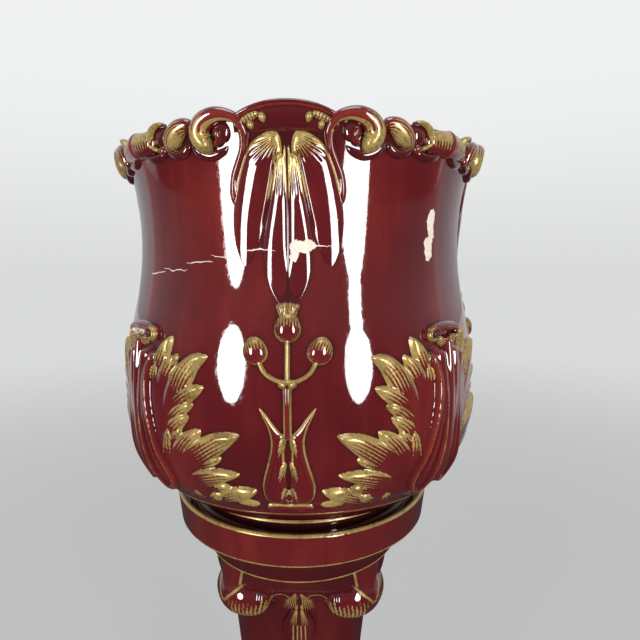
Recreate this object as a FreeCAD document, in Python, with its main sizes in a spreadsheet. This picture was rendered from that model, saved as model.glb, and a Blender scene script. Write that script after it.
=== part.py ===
"""Glazed earthenware jardiniere standing loose on its matching pedestal stand.

Millimetres, +Z up, origin at the middle of the stand's underside, front towards -Y.
Azimuths are counted from the front, positive towards +X.
"""
import FreeCAD, Part
import math
import os
import re

from FreeCAD import Placement, Rotation, Vector
from Sketcher import Constraint as Sketch

UP = Vector(0, 0, 1)
SIDES = {"front": 0, "right": 90, "back": 180, "left": 270}
CORNERS = {"front_right": 45, "back_right": 135, "back_left": 225, "front_left": 315}
HANDS = {"right": 1, "left": -1}

doc = FreeCAD.newDocument("jardiniere_on_stand")

# ---------------------------------------------------------------- driving sizes

SIZES = (
    ("stand_height", 650, "floor to the lip of the dish"),
    ("dish_radius", 148.6, "outside of the dish at its lip"),
    ("drum_foot_radius", 145, "outside of the dish at its lower edge"),
    ("drum_height", 34, "height of the dish's outer band"),
    ("lip_width", 5.6, "thickness of the rounded lip"),
    ("recess_depth", 8, "lip down to the seat that the foot stands on"),
    ("ledge_height", 3, "height of the locating ledge above the seat"),
    ("seat_clearance", 3, "gap round the foot inside the locating ledge"),
    ("dish_floor", 10, "thickness under the seat"),
    ("stand_wall", 10, "wall of the pedestal castings"),
    ("neck_height", 36.5, "height of the cove under the dish"),
    ("neck_top_radius", 139, "outside of the cove where it meets the dish"),
    ("neck_foot_radius", 115.2, "outside of the cove where it meets the capital"),
    ("cove_arc", 34, "radius of the cove's hollow profile"),
    ("capital_height", 60, "height of the capital"),
    ("capital_half_width", 98, "middle to face at the top of the capital"),
    ("capital_corner_reach", 104, "middle to the cut-back corners at the top of the capital"),
    ("capital_lip", 10, "straight neck at the bottom of the capital"),
    ("capital_arc", 75, "radius of the capital's swelling profile"),
    ("shaft_top_half", 75, "middle to face at the top of the shaft"),
    ("shaft_foot_half", 78, "middle to face at the bottom of the shaft"),
    ("shaft_arc", 1560, "radius of the shaft's waisted profile"),
    ("corner_strip", 15, "width cut from each corner of the shaft"),
    ("spray_relief", 3, "height of the sprays on the shaft"),
    ("spray_length", 260, "length of the sprays on the shaft"),
    ("spray_half_width", 16, "half the width of the spray's leaves"),
    ("volute_reach", 91, "middle of the stand to the volute's roll"),
    ("volute_level", 536, "height of the volute's roll"),
    ("volute_radius", 23, "radius of the roll where it is thickest"),
    ("volute_end_radius", 12, "radius of the roll at its ends"),
    ("volute_half_length", 34, "half the roll's length across the corner"),
    ("volute_bend", 15, "how far the roll's ends lie behind its middle"),
    ("tongue_reach", 97, "middle of the stand to the tongue's centreline at its top"),
    ("tongue_half_width", 27, "half of the width of the tongue above the roll"),
    ("tongue_depth", 16, "half of the tongue's thickness"),
    ("base_height", 112, "height of the base"),
    ("base_half_width", 142, "middle to face of the plinth"),
    ("plinth_height", 20, "height of the plinth band"),
    ("base_step", 7, "step between the plinth band and the moulding"),
    ("base_roll", 15, "radius of the base's rounded moulding"),
    ("base_corner_radius", 172, "middle to the rounded corners of the plinth"),
    ("base_cove_arc", 95, "radius of the base's hollow sweep"),
    ("console_overhang", 4, "how far the base scroll's centreline reaches past the plinth"),
    ("console_below", 24, "top of the base down to the base scroll's widest point"),
    ("console_start", 46, "radius of the base scroll's curl where it leaves the plinth"),
    ("console_end", 13, "radius of the base scroll's curl at its inner end"),
    ("console_lean", 105, "angle below level where the base scroll's curl starts"),
    ("console_turn", 250, "angle that the base scroll turns through"),
    ("console_half_width", 27, "half of a base scroll's width across the corner"),
    ("console_thickness", 15, "half of a base scroll's thickness"),
    ("foot_radius", 131, "outside of the jardiniere's foot ring"),
    ("foot_height", 13, "height of the foot ring"),
    ("foot_ring_width", 14, "width of the ring that stands on the seat"),
    ("foot_bead", 2.5, "rounding of the foot ring's gilded edge"),
    ("bowl_height", 360, "foot ring to the top of the wall"),
    ("bowl_floor", 12, "thickness of the bowl's bottom"),
    ("bowl_wall", 9, "thickness of the bowl's wall"),
    ("belly_radius", 192.5, "middle to face at the widest point of the belly"),
    ("belly_level", 125, "height of the widest point above the foot ring"),
    ("belly_arc", 350, "radius of the belly's profile"),
    ("shoulder_level", 91, "height where the belly turns in towards the foot"),
    ("waist_depth", 17.5, "how much narrower each half is at the waist than at the belly"),
    ("waist_level", 273, "height of the waist above the foot ring"),
    ("lobe_setback", 19.5, "how far each face's centre lies behind the middle"),
    ("crest_rise", 15, "top of the wall to the top of the arched crests"),
    ("crest_half_width", 40, "half of a crest's width"),
    ("crest_spring_rise", 1, "top of the wall to where the crest's roll starts"),
    ("crest_roll", 6, "width of the roll that edges a crest"),
    ("crest_relief", 5, "height of that roll above the wall"),
    ("crest_bead", 4.5, "radius of the beads at a crest's ends"),
    ("scroll_share", 0.27, "large scroll's place round the rim, as a share of the belly's radius"),
    ("scroll_below", 7, "top of the wall down to the large scroll's middle"),
    ("scroll_lean", 205, "angle where the large scroll's curl starts"),
    ("scroll_turn", 330, "angle that the large scroll turns through"),
    ("scroll_squash", 0.72, "height of the large scroll's curl as a share of its width"),
    ("scroll_reach", 24, "large scroll's middle to its centreline at the start"),
    ("scroll_tail", 8, "large scroll's middle to its centreline at the end"),
    ("scroll_fat", 10.5, "how far the large scroll bulges out where it is thickest"),
    ("scroll_depth", 7.5, "half of the large scroll's thickness across its curl"),
    ("scroll_thin", 3.5, "radius of the large scroll at its ends"),
    ("scroll_eye", 6.5, "radius of the ball in the large scroll's middle"),
    ("curl_share", 0.488, "small curl's place round the rim, as a share of the belly's radius"),
    ("curl_below", 5, "top of the wall down to the small curl's middle"),
    ("curl_slope", 0.18, "how steeply a small curl leans away from its scroll"),
    ("curl_length", 29, "length of a small curl along the rim"),
    ("curl_fat", 12, "radius of a small curl where it is thickest"),
    ("curl_thin", 6, "radius of a small curl at its ends"),
    ("corner_roll_share", 0.2026, "half a corner roll's length as a share of the belly's radius"),
    ("corner_roll_below", 6, "top of the wall down to a corner roll's middle"),
    ("corner_roll_fat", 11.5, "radius of a corner roll where it is thickest"),
    ("corner_bead", 5.5, "radius of the beads under a corner roll's ends"),
    ("roll_overhang", 1.5, "how far the rim rolls' centreline stands outside the wall"),
    ("drape_relief", 4.5, "height of the drooping leaves above the wall"),
    ("drape_below", 10, "top of the wall down to the drooping leaves' shoulders"),
    ("drape_foot", 252, "height of the outer drooping leaves' tips"),
    ("drape_inner_below", 27, "top of the wall down to the inner pair's shoulders"),
    ("drape_inner_foot", 216, "height of the inner drooping leaves' tips"),
    ("drape_reach", 47, "middle of the face to the outer leaves' edges"),
    ("drape_inner_reach", 18, "middle of the face to the inner leaves' edges"),
    ("sprig_relief", 3.5, "height of the thistle sprig's stems and leaves"),
    ("sprig_top", 216, "height of the thistle's crown"),
    ("sprig_foot", 33, "height of the sprig's lower edge"),
    ("tulip_reach", 23, "middle of the face to the edge of the sprig's leaves"),
    ("bud_level", 196, "height of the middle bud's centre"),
    ("bud_radius", 10.5, "half the width of the middle bud"),
    ("side_bud_place", 26, "middle of the face to a side bud's centre"),
    ("side_bud_level", 178, "height of the side buds' centres"),
    ("side_bud_radius", 9.5, "half the width of a side bud"),
    ("bud_relief", 8, "height of the buds above the wall"),
    ("bud_bed", 3, "how deep the buds' centres lie in the wall"),
    ("bud_tilt", 20, "angle that the side buds lean outwards"),
    ("fork_level", 153, "height where the buds' stems part"),
    ("stem_half_width", 3, "half the width of the main stem"),
    ("bud_stem_width", 2.4, "width of a side bud's stem"),
    ("acanthus_relief", 6, "height of the corner leaves above the wall"),
    ("acanthus_share", 0.5818, "the corner leaves' reach as a share of the belly's radius"),
    ("acanthus_top", 186, "height of the corner leaves' top"),
    ("acanthus_foot", 32, "height of the corner leaves' lower edge"),
    ("stalk_relief", 9.5, "height of the ribbed stalk above the wall"),
    ("stalk_half_width", 9, "half the width of each of the stalk's three ribs at the foot"),
    ("knob_level", 191, "height of the knob's middle"),
    ("knob_half_length", 27, "half the length of the knob across the ridge"),
    ("knob_radius", 9, "radius of the knob where it is thickest"),
    ("knob_overhang", 4, "how far the knob's centreline stands outside the wall"),
    ("knob_droop", 9, "how far the knob's ends hang below its middle"),
    ("knob_wrap", 1.2, "how far the knob's ends lie behind its middle"),
)

DERIVED = (
    ("seat_level", "stand_height - recess_depth"),
    ("drum_level", "stand_height - drum_height"),
    ("neck_level", "drum_level - neck_height"),
    ("shaft_level", "neck_level - capital_height"),
    ("seat_radius", "foot_radius + seat_clearance"),
    ("dish_bore", "neck_top_radius - stand_wall"),
    ("neck_bore", "neck_foot_radius - 2 * stand_wall"),
    ("bowl_level", "seat_level + foot_height"),
    ("waist_radius", "belly_radius - waist_depth"),
    ("crest_height", "bowl_height + crest_rise"),
    ("crest_spring", "bowl_height + crest_spring_rise"),
    ("scroll_place", "belly_radius * scroll_share"),
    ("scroll_level", "bowl_height - scroll_below"),
    ("curl_place", "belly_radius * curl_share"),
    ("curl_level", "bowl_height - curl_below"),
    ("corner_roll_half", "belly_radius * corner_roll_share"),
    ("corner_roll_level", "bowl_height - corner_roll_below"),
    ("drape_top", "bowl_height - drape_below"),
    ("drape_drop", "drape_top - drape_foot"),
    ("drape_inner_top", "bowl_height - drape_inner_below"),
    ("drape_inner_drop", "drape_inner_top - drape_inner_foot"),
    ("acanthus_reach", "belly_radius * acanthus_share"),
    ("console_level", "base_height - console_below"),
    ("console_reach", "base_half_width + console_overhang"),
    ("profile_reach", "((belly_radius - waist_radius) ^ 2 + (waist_level - belly_level) ^ 2)"
                      " / (2 * (belly_radius - waist_radius))"),
    ("waist_arc", "profile_reach - belly_arc"),
    ("belly_axis", "belly_radius - belly_arc"),
    ("waist_axis", "waist_radius + waist_arc"),
    ("turn_share", "belly_arc / profile_reach"),
    ("turn_run", "(waist_axis - belly_axis) / profile_reach"),
    ("turn_rise", "(waist_level - belly_level) / profile_reach"),
    ("shoulder_sine", "(belly_level - shoulder_level) / belly_arc"),
    ("shoulder_cosine", "sqrt(1 - shoulder_sine ^ 2)"),
    ("shoulder_radius", "belly_axis + belly_arc * shoulder_cosine"),
    ("shoulder_arc", "((foot_radius - shoulder_radius) ^ 2 + shoulder_level ^ 2)"
                     " / (2 * ((shoulder_radius - foot_radius) * shoulder_cosine"
                     " - shoulder_level * shoulder_sine))"),
    ("shoulder_axis", "shoulder_radius - shoulder_arc * shoulder_cosine"),
    ("shoulder_centre", "shoulder_level + shoulder_arc * shoulder_sine"),
)

sizes = doc.addObject("Spreadsheet::Sheet", "Sizes")


def fill_sheet():
    """Write every size and every worked-out size into the sheet under its own name."""
    row = 0
    for alias, number, meaning in SIZES:
        row += 1
        sizes.set(f"A{row}", meaning)
        sizes.set(f"B{row}", str(number))
        sizes.setAlias(f"B{row}", alias)
    for alias, formula in DERIVED:
        row += 1
        sizes.set(f"A{row}", "worked out from the sizes above")
        sizes.set(f"B{row}", "=" + formula)
        sizes.setAlias(f"B{row}", alias)
    doc.recompute()


fill_sheet()
NAMES = {entry[0] for entry in SIZES + DERIVED}


def bound(formula):
    """The formula with every size in it read from the sheet."""
    return re.sub(r"[a-z_]+", lambda word: f"Sizes.{word[0]}" if word[0] in NAMES else word[0],
                  str(formula))


def value(formula):
    """The number that a formula of sizes gives now."""
    return float(sizes.evalExpression(str(formula)))


# ---------------------------------------------------------------- drawing helpers

def upright(azimuth=0.0, middle=Vector(0, 0, 0)):
    """A vertical plane through the axis: x runs to the viewer's right, y runs up."""
    turn = Rotation(UP, azimuth) * Rotation(Vector(1, 0, 0), 90)
    return Placement(turn.multVec(middle), turn)


def edge_between(start, end, radius, side):
    """A line, or the minor arc of a radius whose centre lies left (1) or right (-1)."""
    if not radius:
        return Part.LineSegment(start, end), 1, 2
    chord = end - start
    middle = (start + end) * 0.5
    rise = math.sqrt(max(radius ** 2 - (chord.Length / 2) ** 2, 0))
    left = Vector(-chord.y, chord.x, 0).normalize()
    centre = middle + left * (rise * side)
    first = math.atan2(start.y - centre.y, start.x - centre.x)
    last = math.atan2(end.y - centre.y, end.x - centre.x)
    circle = Part.Circle(centre, UP, radius)
    if side > 0:
        return Part.ArcOfCircle(circle, first, last), 1, 2
    return Part.ArcOfCircle(circle, last, first), 2, 1


def draw(sketch, corners):
    """Draw a closed outline and dimension it from the sheet.

    A corner is (x, y) where a line arrives, or (x, y, radius, side) where an arc does.
    """
    points = [Vector(value(corner[0]), value(corner[1]), 0) for corner in corners]
    count = len(points)
    ends = []
    for index in range(count):
        following = corners[(index + 1) % count]
        radius, side = following[2:] if len(following) > 2 else (0, 1)
        piece, first, last = edge_between(points[index], points[(index + 1) % count],
                                          value(radius) if radius else 0, side)
        sketch.addGeometry(piece, False)
        ends.append((first, last, radius))
    for index, (first, last, radius) in enumerate(ends):
        after = (index + 1) % count
        sketch.addConstraint(Sketch("Coincident", index, last, after, ends[after][0]))
        if radius:
            dimension(sketch, Sketch("Radius", index, value(radius)), radius)
        across, up = corners[index][:2]
        if str(across) == "0":
            sketch.addConstraint(Sketch("PointOnObject", index, first, -2))
        else:
            dimension(sketch, Sketch("DistanceX", -1, 1, index, first, value(across)), across)
        if str(up) == "0":
            sketch.addConstraint(Sketch("PointOnObject", index, first, -1))
        else:
            dimension(sketch, Sketch("DistanceY", -1, 1, index, first, value(up)), up)
    return sketch


def dimension(sketch, constraint, formula):
    """Add a dimension that follows a formula of sizes."""
    index = sketch.addConstraint(constraint)
    if re.search("[a-z]", str(formula)):
        sketch.setExpression(f"Constraints[{index}]", bound(formula))


def sketch_at(name, placement, corners):
    """A sketch that stands by itself in the document."""
    sketch = doc.addObject("Sketcher::SketchObject", name)
    sketch.Placement = placement
    return draw(sketch, corners)


def turned_body(name, corners):
    """A body turned about the vertical axis from one closed profile of radius and height."""
    body = doc.addObject("PartDesign::Body", name)
    sketch = body.newObject("Sketcher::SketchObject", name + "_profile")
    plane = next(item for item in body.Origin.OriginFeatures if item.Role == "XZ_Plane")
    sketch.AttachmentSupport = [(plane, "")]
    sketch.MapMode = "FlatFace"
    doc.recompute()
    draw(sketch, corners)
    turn = body.newObject("PartDesign::Revolution", name + "_turned")
    turn.Profile = sketch
    turn.ReferenceAxis = (sketch, ["V_Axis"])
    turn.Angle = 360
    return body


def combined(kind, name, shapes):
    """Several shapes fused or intersected into one."""
    result = doc.addObject(kind, name)
    result.Shapes = shapes
    return result


def fused(name, shapes):
    result = combined("Part::MultiFuse", name, shapes)
    result.Refine = True
    return result


def shared(name, shapes):
    return combined("Part::MultiCommon", name, shapes)


def less(name, base, tool):
    """The base without what the tool covers."""
    result = doc.addObject("Part::Cut", name)
    result.Base = base
    result.Tool = tool
    return result


def extruded(name, sketch, direction, length, both_ways=False):
    """A prism on a sketch, along a direction."""
    prism = doc.addObject("Part::Extrusion", name)
    prism.Base = sketch
    prism.DirMode = "Custom"
    prism.Dir = direction
    prism.setExpression("LengthFwd", bound(length))
    if both_ways:
        prism.setExpression("LengthRev", bound(length))
    prism.Solid = True
    return prism


def revolved(name, sketch):
    """A full turn of a sketch about the vertical axis."""
    turn = doc.addObject("Part::Revolution", name)
    turn.Source = sketch
    turn.Axis = UP
    turn.Base = Vector(0, 0, 0)
    turn.Angle = 360
    turn.Solid = True
    return turn


def outward(azimuth):
    """The horizontal direction out of the object at an azimuth."""
    return Rotation(UP, azimuth).multVec(Vector(0, -1, 0))


def mirrored(corners):
    """A half outline, drawn from the top middle down the right, closed by its mirror image."""
    left = []
    if str(corners[0][0]) == "0":
        corners = [tuple(corners[0][:2]) + tuple(corners[1][2:])] + corners[1:]
    for index in range(len(corners) - 1, -1, -1):
        across, up = corners[index][:2]
        if str(across) == "0":
            continue
        following = corners[index + 1] if index + 1 < len(corners) else ()
        left.append((f"-({across})", up) + tuple(following[2:]))
    return corners + left


# ---------------------------------------------------------------- repeated pieces

parts = {}


def keep(name, shape_object):
    """Take an object of the document as the finished sub-part of that name."""
    shape_object.Label = name
    parts[name] = shape_object


def copies(stem, master, places):
    """Turned copies of a master piece, one sub-part for each named place."""
    doc.recompute()
    for place, azimuth in places.items():
        piece = doc.addObject("Part::Feature", f"{stem}_{place}")
        piece.Shape = master.Shape
        piece.Placement = Placement(Vector(0, 0, 0), Rotation(UP, azimuth))
        keep(f"{stem}_{place}", piece)


def handed_copies(stem, master):
    """The master and its mirror image on each side of the object."""
    doc.recompute()
    mirror = master.Shape.mirror(Vector(0, 0, 0), Vector(1, 0, 0))
    for side, azimuth in SIDES.items():
        for hand, sign in HANDS.items():
            piece = doc.addObject("Part::Feature", f"{stem}_{side}_{hand}")
            piece.Shape = master.Shape if sign > 0 else mirror
            piece.Placement = Placement(Vector(0, 0, 0), Rotation(UP, azimuth))
            keep(f"{stem}_{side}_{hand}", piece)


def oval(centre, along, across, half_along, half_across):
    """An oval wire: one half size along a direction, the other along a second one."""
    if abs(half_along - half_across) < 1e-6:
        return Part.Wire(Part.Circle(centre, along.cross(across), half_along).toShape())
    if half_along > half_across:
        ellipse = Part.Ellipse(centre + along * half_along, centre + across * half_across, centre)
    else:
        ellipse = Part.Ellipse(centre + across * half_across, centre + along * half_along, centre)
    return Part.Wire(ellipse.toShape())


def horn(name, path, half_width, half_depth, side_at, steps=6):
    """A tapered, curling solid lofted through ovals along a path of 0 to 1.

    The ovals measure half_width along side_at and half_depth at right angles to it.
    """
    wires = []
    small = 1e-3
    for step in range(steps + 1):
        share = step / steps
        centre = path(share)
        ahead = path(share + small) - path(share - small)
        ahead.normalize()
        side = side_at(share)
        side = side - ahead * side.dot(ahead)
        side.normalize()
        wires.append(oval(centre, side, ahead.cross(side), half_width(share), half_depth(share)))
    piece = doc.addObject("Part::Feature", name)
    piece.Shape = Part.makeLoft(wires, True, False)
    return piece


def swell(thin, fat, peak=0.5):
    """A size that grows from thin at both ends to fat at the peak of its path."""
    def at(share):
        spread = share / peak if share < peak else (1 - share) / (1 - peak)
        return thin + (fat - thin) * math.sin(max(spread, 0) * math.pi / 2)
    return at


# ---------------------------------------------------------------- the stand

def make_dish():
    """The round dish that the jardiniere stands in: lip, locating ledge and seat."""
    lip = "lip_width / 2"
    lip_level = "stand_height - lip_width / 2"
    ledge = "seat_level + ledge_height"
    corners = [
        ("0", "seat_level - dish_floor"),
        ("dish_bore", "seat_level - dish_floor"),
        ("dish_bore", "drum_level"),
        ("drum_foot_radius", "drum_level"),
        ("dish_radius", lip_level),
        (f"dish_radius - {lip}", "stand_height", lip, 1),
        ("dish_radius - lip_width", lip_level, lip, 1),
        ("dish_radius - lip_width", ledge),
        ("seat_radius", ledge),
        ("seat_radius", "seat_level"),
        ("0", "seat_level"),
    ]
    keep("stand_dish", turned_body("stand_dish", corners))


def make_neck():
    """The hollow cove between the dish and the capital."""
    corners = [
        ("neck_bore", "neck_level", "cove_arc", 1),
        ("neck_foot_radius", "neck_level"),
        ("neck_top_radius", "drum_level", "cove_arc", -1),
        ("dish_bore", "drum_level"),
    ]
    keep("stand_neck", turned_body("stand_neck", corners))


def four_sided(name, profile, length):
    """What two crossed prisms of one symmetrical profile share: a mitred four-sided form."""
    prisms = []
    for index, azimuth in enumerate((0, 90)):
        sketch = sketch_at(f"{name}_profile_{index}", upright(azimuth), mirrored(profile))
        prisms.append(extruded(f"{name}_prism_{index}", sketch, outward(azimuth), length, True))
    return prisms


def capital_profile(top, foot, inset):
    """Half of the capital's swelling outline, drawn a distance inside its faces."""
    return [
        ("0", "neck_level"),
        (f"{top} - {inset}", "neck_level"),
        (f"{foot} - {inset}", "shaft_level + capital_lip", "capital_arc", -1),
        (f"{foot} - {inset}", "shaft_level"),
        ("0", "shaft_level"),
    ]


def make_capital():
    """The swelling four-sided capital, cut back at the corners where the volutes hang."""
    corner_foot = "(2 * shaft_top_half - corner_strip) / sqrt(2)"
    solids = {}
    for name, inset, limit in (("outside", "0", "neck_foot_radius"),
                               ("inside", "stand_wall", "neck_bore")):
        prisms = four_sided(f"capital_{name}", capital_profile("capital_half_width",
                                                               "shaft_top_half", inset), limit)
        for index, azimuth in enumerate((45, 135)):
            sketch = sketch_at(f"capital_{name}_corner_{index}", upright(azimuth), mirrored(
                capital_profile("capital_corner_reach", corner_foot, inset)))
            prisms.append(extruded(f"capital_{name}_strip_{index}", sketch, outward(azimuth),
                                   limit, True))
        rounding = doc.addObject("Part::Cylinder", f"capital_{name}_rounding")
        rounding.setExpression("Radius", bound(limit))
        rounding.setExpression("Height", bound("capital_height"))
        rounding.setExpression("Placement.Base.z", bound("shaft_level"))
        solids[name] = shared(f"capital_{name}", prisms + [rounding])
    keep("stand_capital", less("stand_capital", solids["outside"], solids["inside"]))
    return solids["outside"]


def shaft_profile(inset):
    """Half of the shaft's waisted outline, drawn a distance inside its faces."""
    return [
        ("0", "shaft_level"),
        (f"shaft_top_half - {inset}", "shaft_level"),
        (f"shaft_foot_half - {inset}", "base_height", f"shaft_arc + {inset}", 1),
        ("0", "base_height"),
    ]


def corner_profile(inset):
    """Half of the shaft's outline across its corners, with the corner strips cut off."""
    return [
        ("0", "shaft_level"),
        (f"(2 * shaft_top_half - corner_strip) / sqrt(2) - {inset}", "shaft_level"),
        (f"(2 * shaft_foot_half - corner_strip) / sqrt(2) - {inset}", "base_height",
         f"shaft_arc + {inset}", 1),
        ("0", "base_height"),
    ]


def make_shaft():
    """The waisted hollow shaft: four faces with a narrow strip on each corner."""
    solids = {}
    for name, inset in (("outside", "0"), ("inside", "stand_wall"), ("spray", "-spray_relief")):
        inset = f"({inset})"
        prisms = four_sided(f"shaft_{name}", shaft_profile(inset), "2 * shaft_foot_half")
        if name != "spray":
            for index, azimuth in enumerate((45, 135)):
                sketch = sketch_at(f"shaft_{name}_corner_{index}", upright(azimuth),
                                   mirrored(corner_profile(inset)))
                prisms.append(extruded(f"shaft_{name}_strip_{index}", sketch, outward(azimuth),
                                       "2 * shaft_foot_half", True))
        solids[name] = shared(f"shaft_{name}", prisms)
    keep("stand_shaft", less("stand_shaft", solids["outside"], solids["inside"]))
    make_sprays(solids)
    return solids["outside"]


def make_sprays(solids):
    """A pair of comb leaves and two long strands down the middle of each shaft face."""
    top = "shaft_level"
    foot = "shaft_level - spray_length"
    outline = mirrored([
        ("0", top),
        ("spray_half_width * 0.55", top),
        ("spray_half_width", f"{top} - spray_length * 0.05"),
        ("spray_half_width * 0.75", f"{top} - spray_length * 0.15", "spray_length * 0.12", -1),
        ("spray_half_width * 0.5", f"{top} - spray_length * 0.22"),
        ("spray_half_width * 0.5", f"{foot} + spray_half_width * 1.2"),
        ("0", foot, "spray_half_width * 1.6", -1),
    ])
    sketch = sketch_at("spray_outline", upright(), outline)
    prism = extruded("spray_prism", sketch, outward(0), "2 * shaft_foot_half")
    raised = shared("spray_raised", [prism, solids["spray"]])
    copies("shaft_spray", less("spray_master", raised, solids["outside"]), SIDES)


def curling_path(reach, level, start, end, start_angle, sweep):
    """A scroll's centreline in the front's vertical plane, tightening from start to end.

    The scroll is furthest out, at the reach, where it passes its own middle's level.
    """
    widest = abs(start_angle / sweep)
    middle = reach - (start + (end - start) * widest)

    def at(share):
        angle = math.radians(start_angle + sweep * share)
        radius = start + (end - start) * share
        return Vector(0, -(middle + radius * math.cos(angle)), level + radius * math.sin(angle))
    return at


def turned_to_corner(name, shapes):
    """Solids of the stand, fused and turned so that a corner faces the front."""
    doc.recompute()
    turned = doc.addObject("Part::Feature", name)
    turned.Shape = shapes[0].Shape.fuse([item.Shape for item in shapes[1:]])
    turned.Placement = Placement(Vector(0, 0, 0), Rotation(UP, 45))
    return turned


def make_volutes(capital_solid, shaft_solid):
    """The four fat volutes that droop from the neck over the capital's corners."""
    reach, level = value("volute_reach"), value("volute_level")
    half, bend = value("volute_half_length"), value("volute_bend")
    neck = value("neck_level")

    def across(share):
        along = 2 * share - 1
        return Vector(half * along, -reach + bend * along ** 2, level)

    def down(share):
        reached = value("tongue_reach") * (1 - share) + reach * share
        return Vector(0, -reached, neck * (1 - share) + level * share)

    thick = swell(value("volute_end_radius"), value("volute_radius"))
    roll = horn("volute_roll", across, thick, thick, lambda share: UP, 8)
    tongue = horn("volute_tongue", down, swell(value("tongue_half_width"), value(
        "tongue_half_width + 2")), swell(value("tongue_depth"), value("tongue_depth + 2")),
        lambda share: Vector(1, 0, 0), 4)
    below = doc.addObject("Part::Cylinder", "volute_space")
    below.setExpression("Radius", bound("2 * volute_reach"))
    below.setExpression("Height", bound("neck_level - base_height"))
    below.setExpression("Placement.Base.z", bound("base_height"))
    hung = shared("volute_hung", [fused("volute_whole", [roll, tongue]), below])
    behind = turned_to_corner("capital_turned", [capital_solid, shaft_solid])
    copies("capital_volute", less("volute_master", hung, behind), CORNERS)


def base_outline(inset):
    """Half of the base's moulded profile."""
    step = f"base_half_width - base_step - {inset}"
    roll_top = "plinth_height + 2 * base_roll"
    return [
        ("0", "base_height"),
        (f"shaft_foot_half - {inset}", "base_height"),
        (f"{step} - base_roll", roll_top, "base_cove_arc", 1),
        (step, "plinth_height + base_roll", "base_roll", -1),
        (step, "plinth_height"),
        (f"base_half_width - {inset}", "plinth_height"),
        (f"base_half_width - {inset}", "0"),
        ("0", "0"),
    ]


def base_hollow():
    """Half of the base's open underside, a wall inside the profile."""
    return [
        ("0", "base_height"),
        ("shaft_foot_half - stand_wall", "base_height"),
        ("base_half_width - base_step - base_roll - stand_wall", "plinth_height + base_roll",
         "base_cove_arc + stand_wall", 1),
        ("base_half_width - base_step - stand_wall", "plinth_height"),
        ("base_half_width - base_step - stand_wall", "0"),
        ("0", "0"),
    ]


def make_base():
    """The spreading four-sided base: plinth band, rounded moulding and hollow sweep."""
    outside_prisms = four_sided("base", base_outline("0"), "base_half_width * 1.1")
    hollow_prisms = four_sided("base_hollow", base_hollow(), "base_half_width")
    limits = []
    for name, radius in (("base_rounding", "base_corner_radius"),
                         ("base_bore", "base_corner_radius - 1.5 * stand_wall")):
        limit = doc.addObject("Part::Cylinder", name)
        limit.setExpression("Radius", bound(radius))
        limit.setExpression("Height", bound("base_height"))
        limits.append(limit)
    outside = shared("base_outside", outside_prisms + [limits[0]])
    inside = shared("base_inside", hollow_prisms + [limits[1]])
    keep("stand_base", less("stand_base", outside, inside))
    return outside


def make_consoles(base_solid, shaft_solid):
    """The fat scroll that stands on each corner of the base against the shaft."""
    path = curling_path(value("console_reach"), value("console_level"),
                        value("console_start"), value("console_end"),
                        value("-console_lean"), value("console_turn"))
    wide = swell(value("console_half_width * 0.6"), value("console_half_width"), 0.45)
    deep = swell(value("console_thickness * 0.5"), value("console_thickness"), 0.6)
    scroll = horn("console_scroll", path, wide, deep, lambda share: Vector(1, 0, 0))
    behind = turned_to_corner("base_turned", [base_solid, shaft_solid])
    copies("base_scroll", less("console_master", scroll, behind), CORNERS)


# ---------------------------------------------------------------- the jardiniere

def make_foot_ring():
    """The turned ring that the bowl stands on."""
    corners = [
        ("foot_radius - foot_ring_width", "seat_level"),
        ("foot_radius - foot_bead", "seat_level"),
        ("foot_radius - foot_bead", "bowl_level - 2 * foot_bead"),
        ("foot_radius", "bowl_level - foot_bead", "foot_bead", 1),
        ("foot_radius - foot_bead", "bowl_level", "foot_bead", 1),
        ("foot_radius - foot_ring_width", "bowl_level"),
    ]
    keep("foot_ring", turned_body("foot_ring", corners))


def face_profile(name, offset, low, high, setback):
    """The bowl's profile, three arcs that run into one another, drawn an offset outside."""
    def joint(axis, arc, across, up, centre):
        return (f"{axis} + ({arc}) * {across} + {setback}", f"bowl_level + {centre} + ({arc}) * {up}")

    belly_arc = f"belly_arc + {offset}"
    shoulder_arc = f"shoulder_arc + {offset}"
    waist_arc = f"waist_arc - {offset}"
    shoulder = joint("belly_axis", belly_arc, "shoulder_cosine", "(-shoulder_sine)", "belly_level")
    turn = joint("belly_axis", belly_arc, "turn_run", "turn_rise", "belly_level")
    low_radius = f"shoulder_axis + sqrt(({shoulder_arc}) ^ 2 - (shoulder_centre - {low}) ^ 2)"
    high_radius = f"waist_axis - sqrt(({waist_arc}) ^ 2 - ({high} - waist_level) ^ 2)"
    return sketch_at(name, upright(), [
        ("0", f"bowl_level + {low}"),
        (f"{low_radius} + {setback}", f"bowl_level + {low}"),
        shoulder + (shoulder_arc, 1),
        turn + (belly_arc, 1),
        (f"{high_radius} + {setback}", f"bowl_level + {high}", waist_arc, -1),
        ("0", f"bowl_level + {high}"),
    ])


def lobed_skin(name, offset, low, high):
    """The four-lobed form: the profile turned about four set-back centres, intersected."""
    profile = face_profile(f"{name}_profile", f"({offset})", f"({low})", f"({high})",
                           "lobe_setback")
    lobes = []
    for index, azimuth in enumerate(SIDES.values()):
        lobe = revolved(f"{name}_lobe_{index}", profile)
        turn = Rotation(UP, azimuth)
        lobe.Placement = Placement(turn.multVec(Vector(0, value("lobe_setback"), 0)), turn)
        lobes.append(lobe)
    return shared(name, lobes)


def make_bowl():
    """The four-lobed bowl with its round inside, and the solids its ornament is cut from."""
    core = lobed_skin("bowl_core", "0", "0", "bowl_height")
    cavity = revolved("bowl_cavity", face_profile("cavity_profile", "(-bowl_wall)",
                                                  "(bowl_floor)", "(crest_height + 20)", "0"))
    bowl = less("bowl", core, cavity)
    keep("bowl", bowl)
    return core, cavity, bowl


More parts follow.
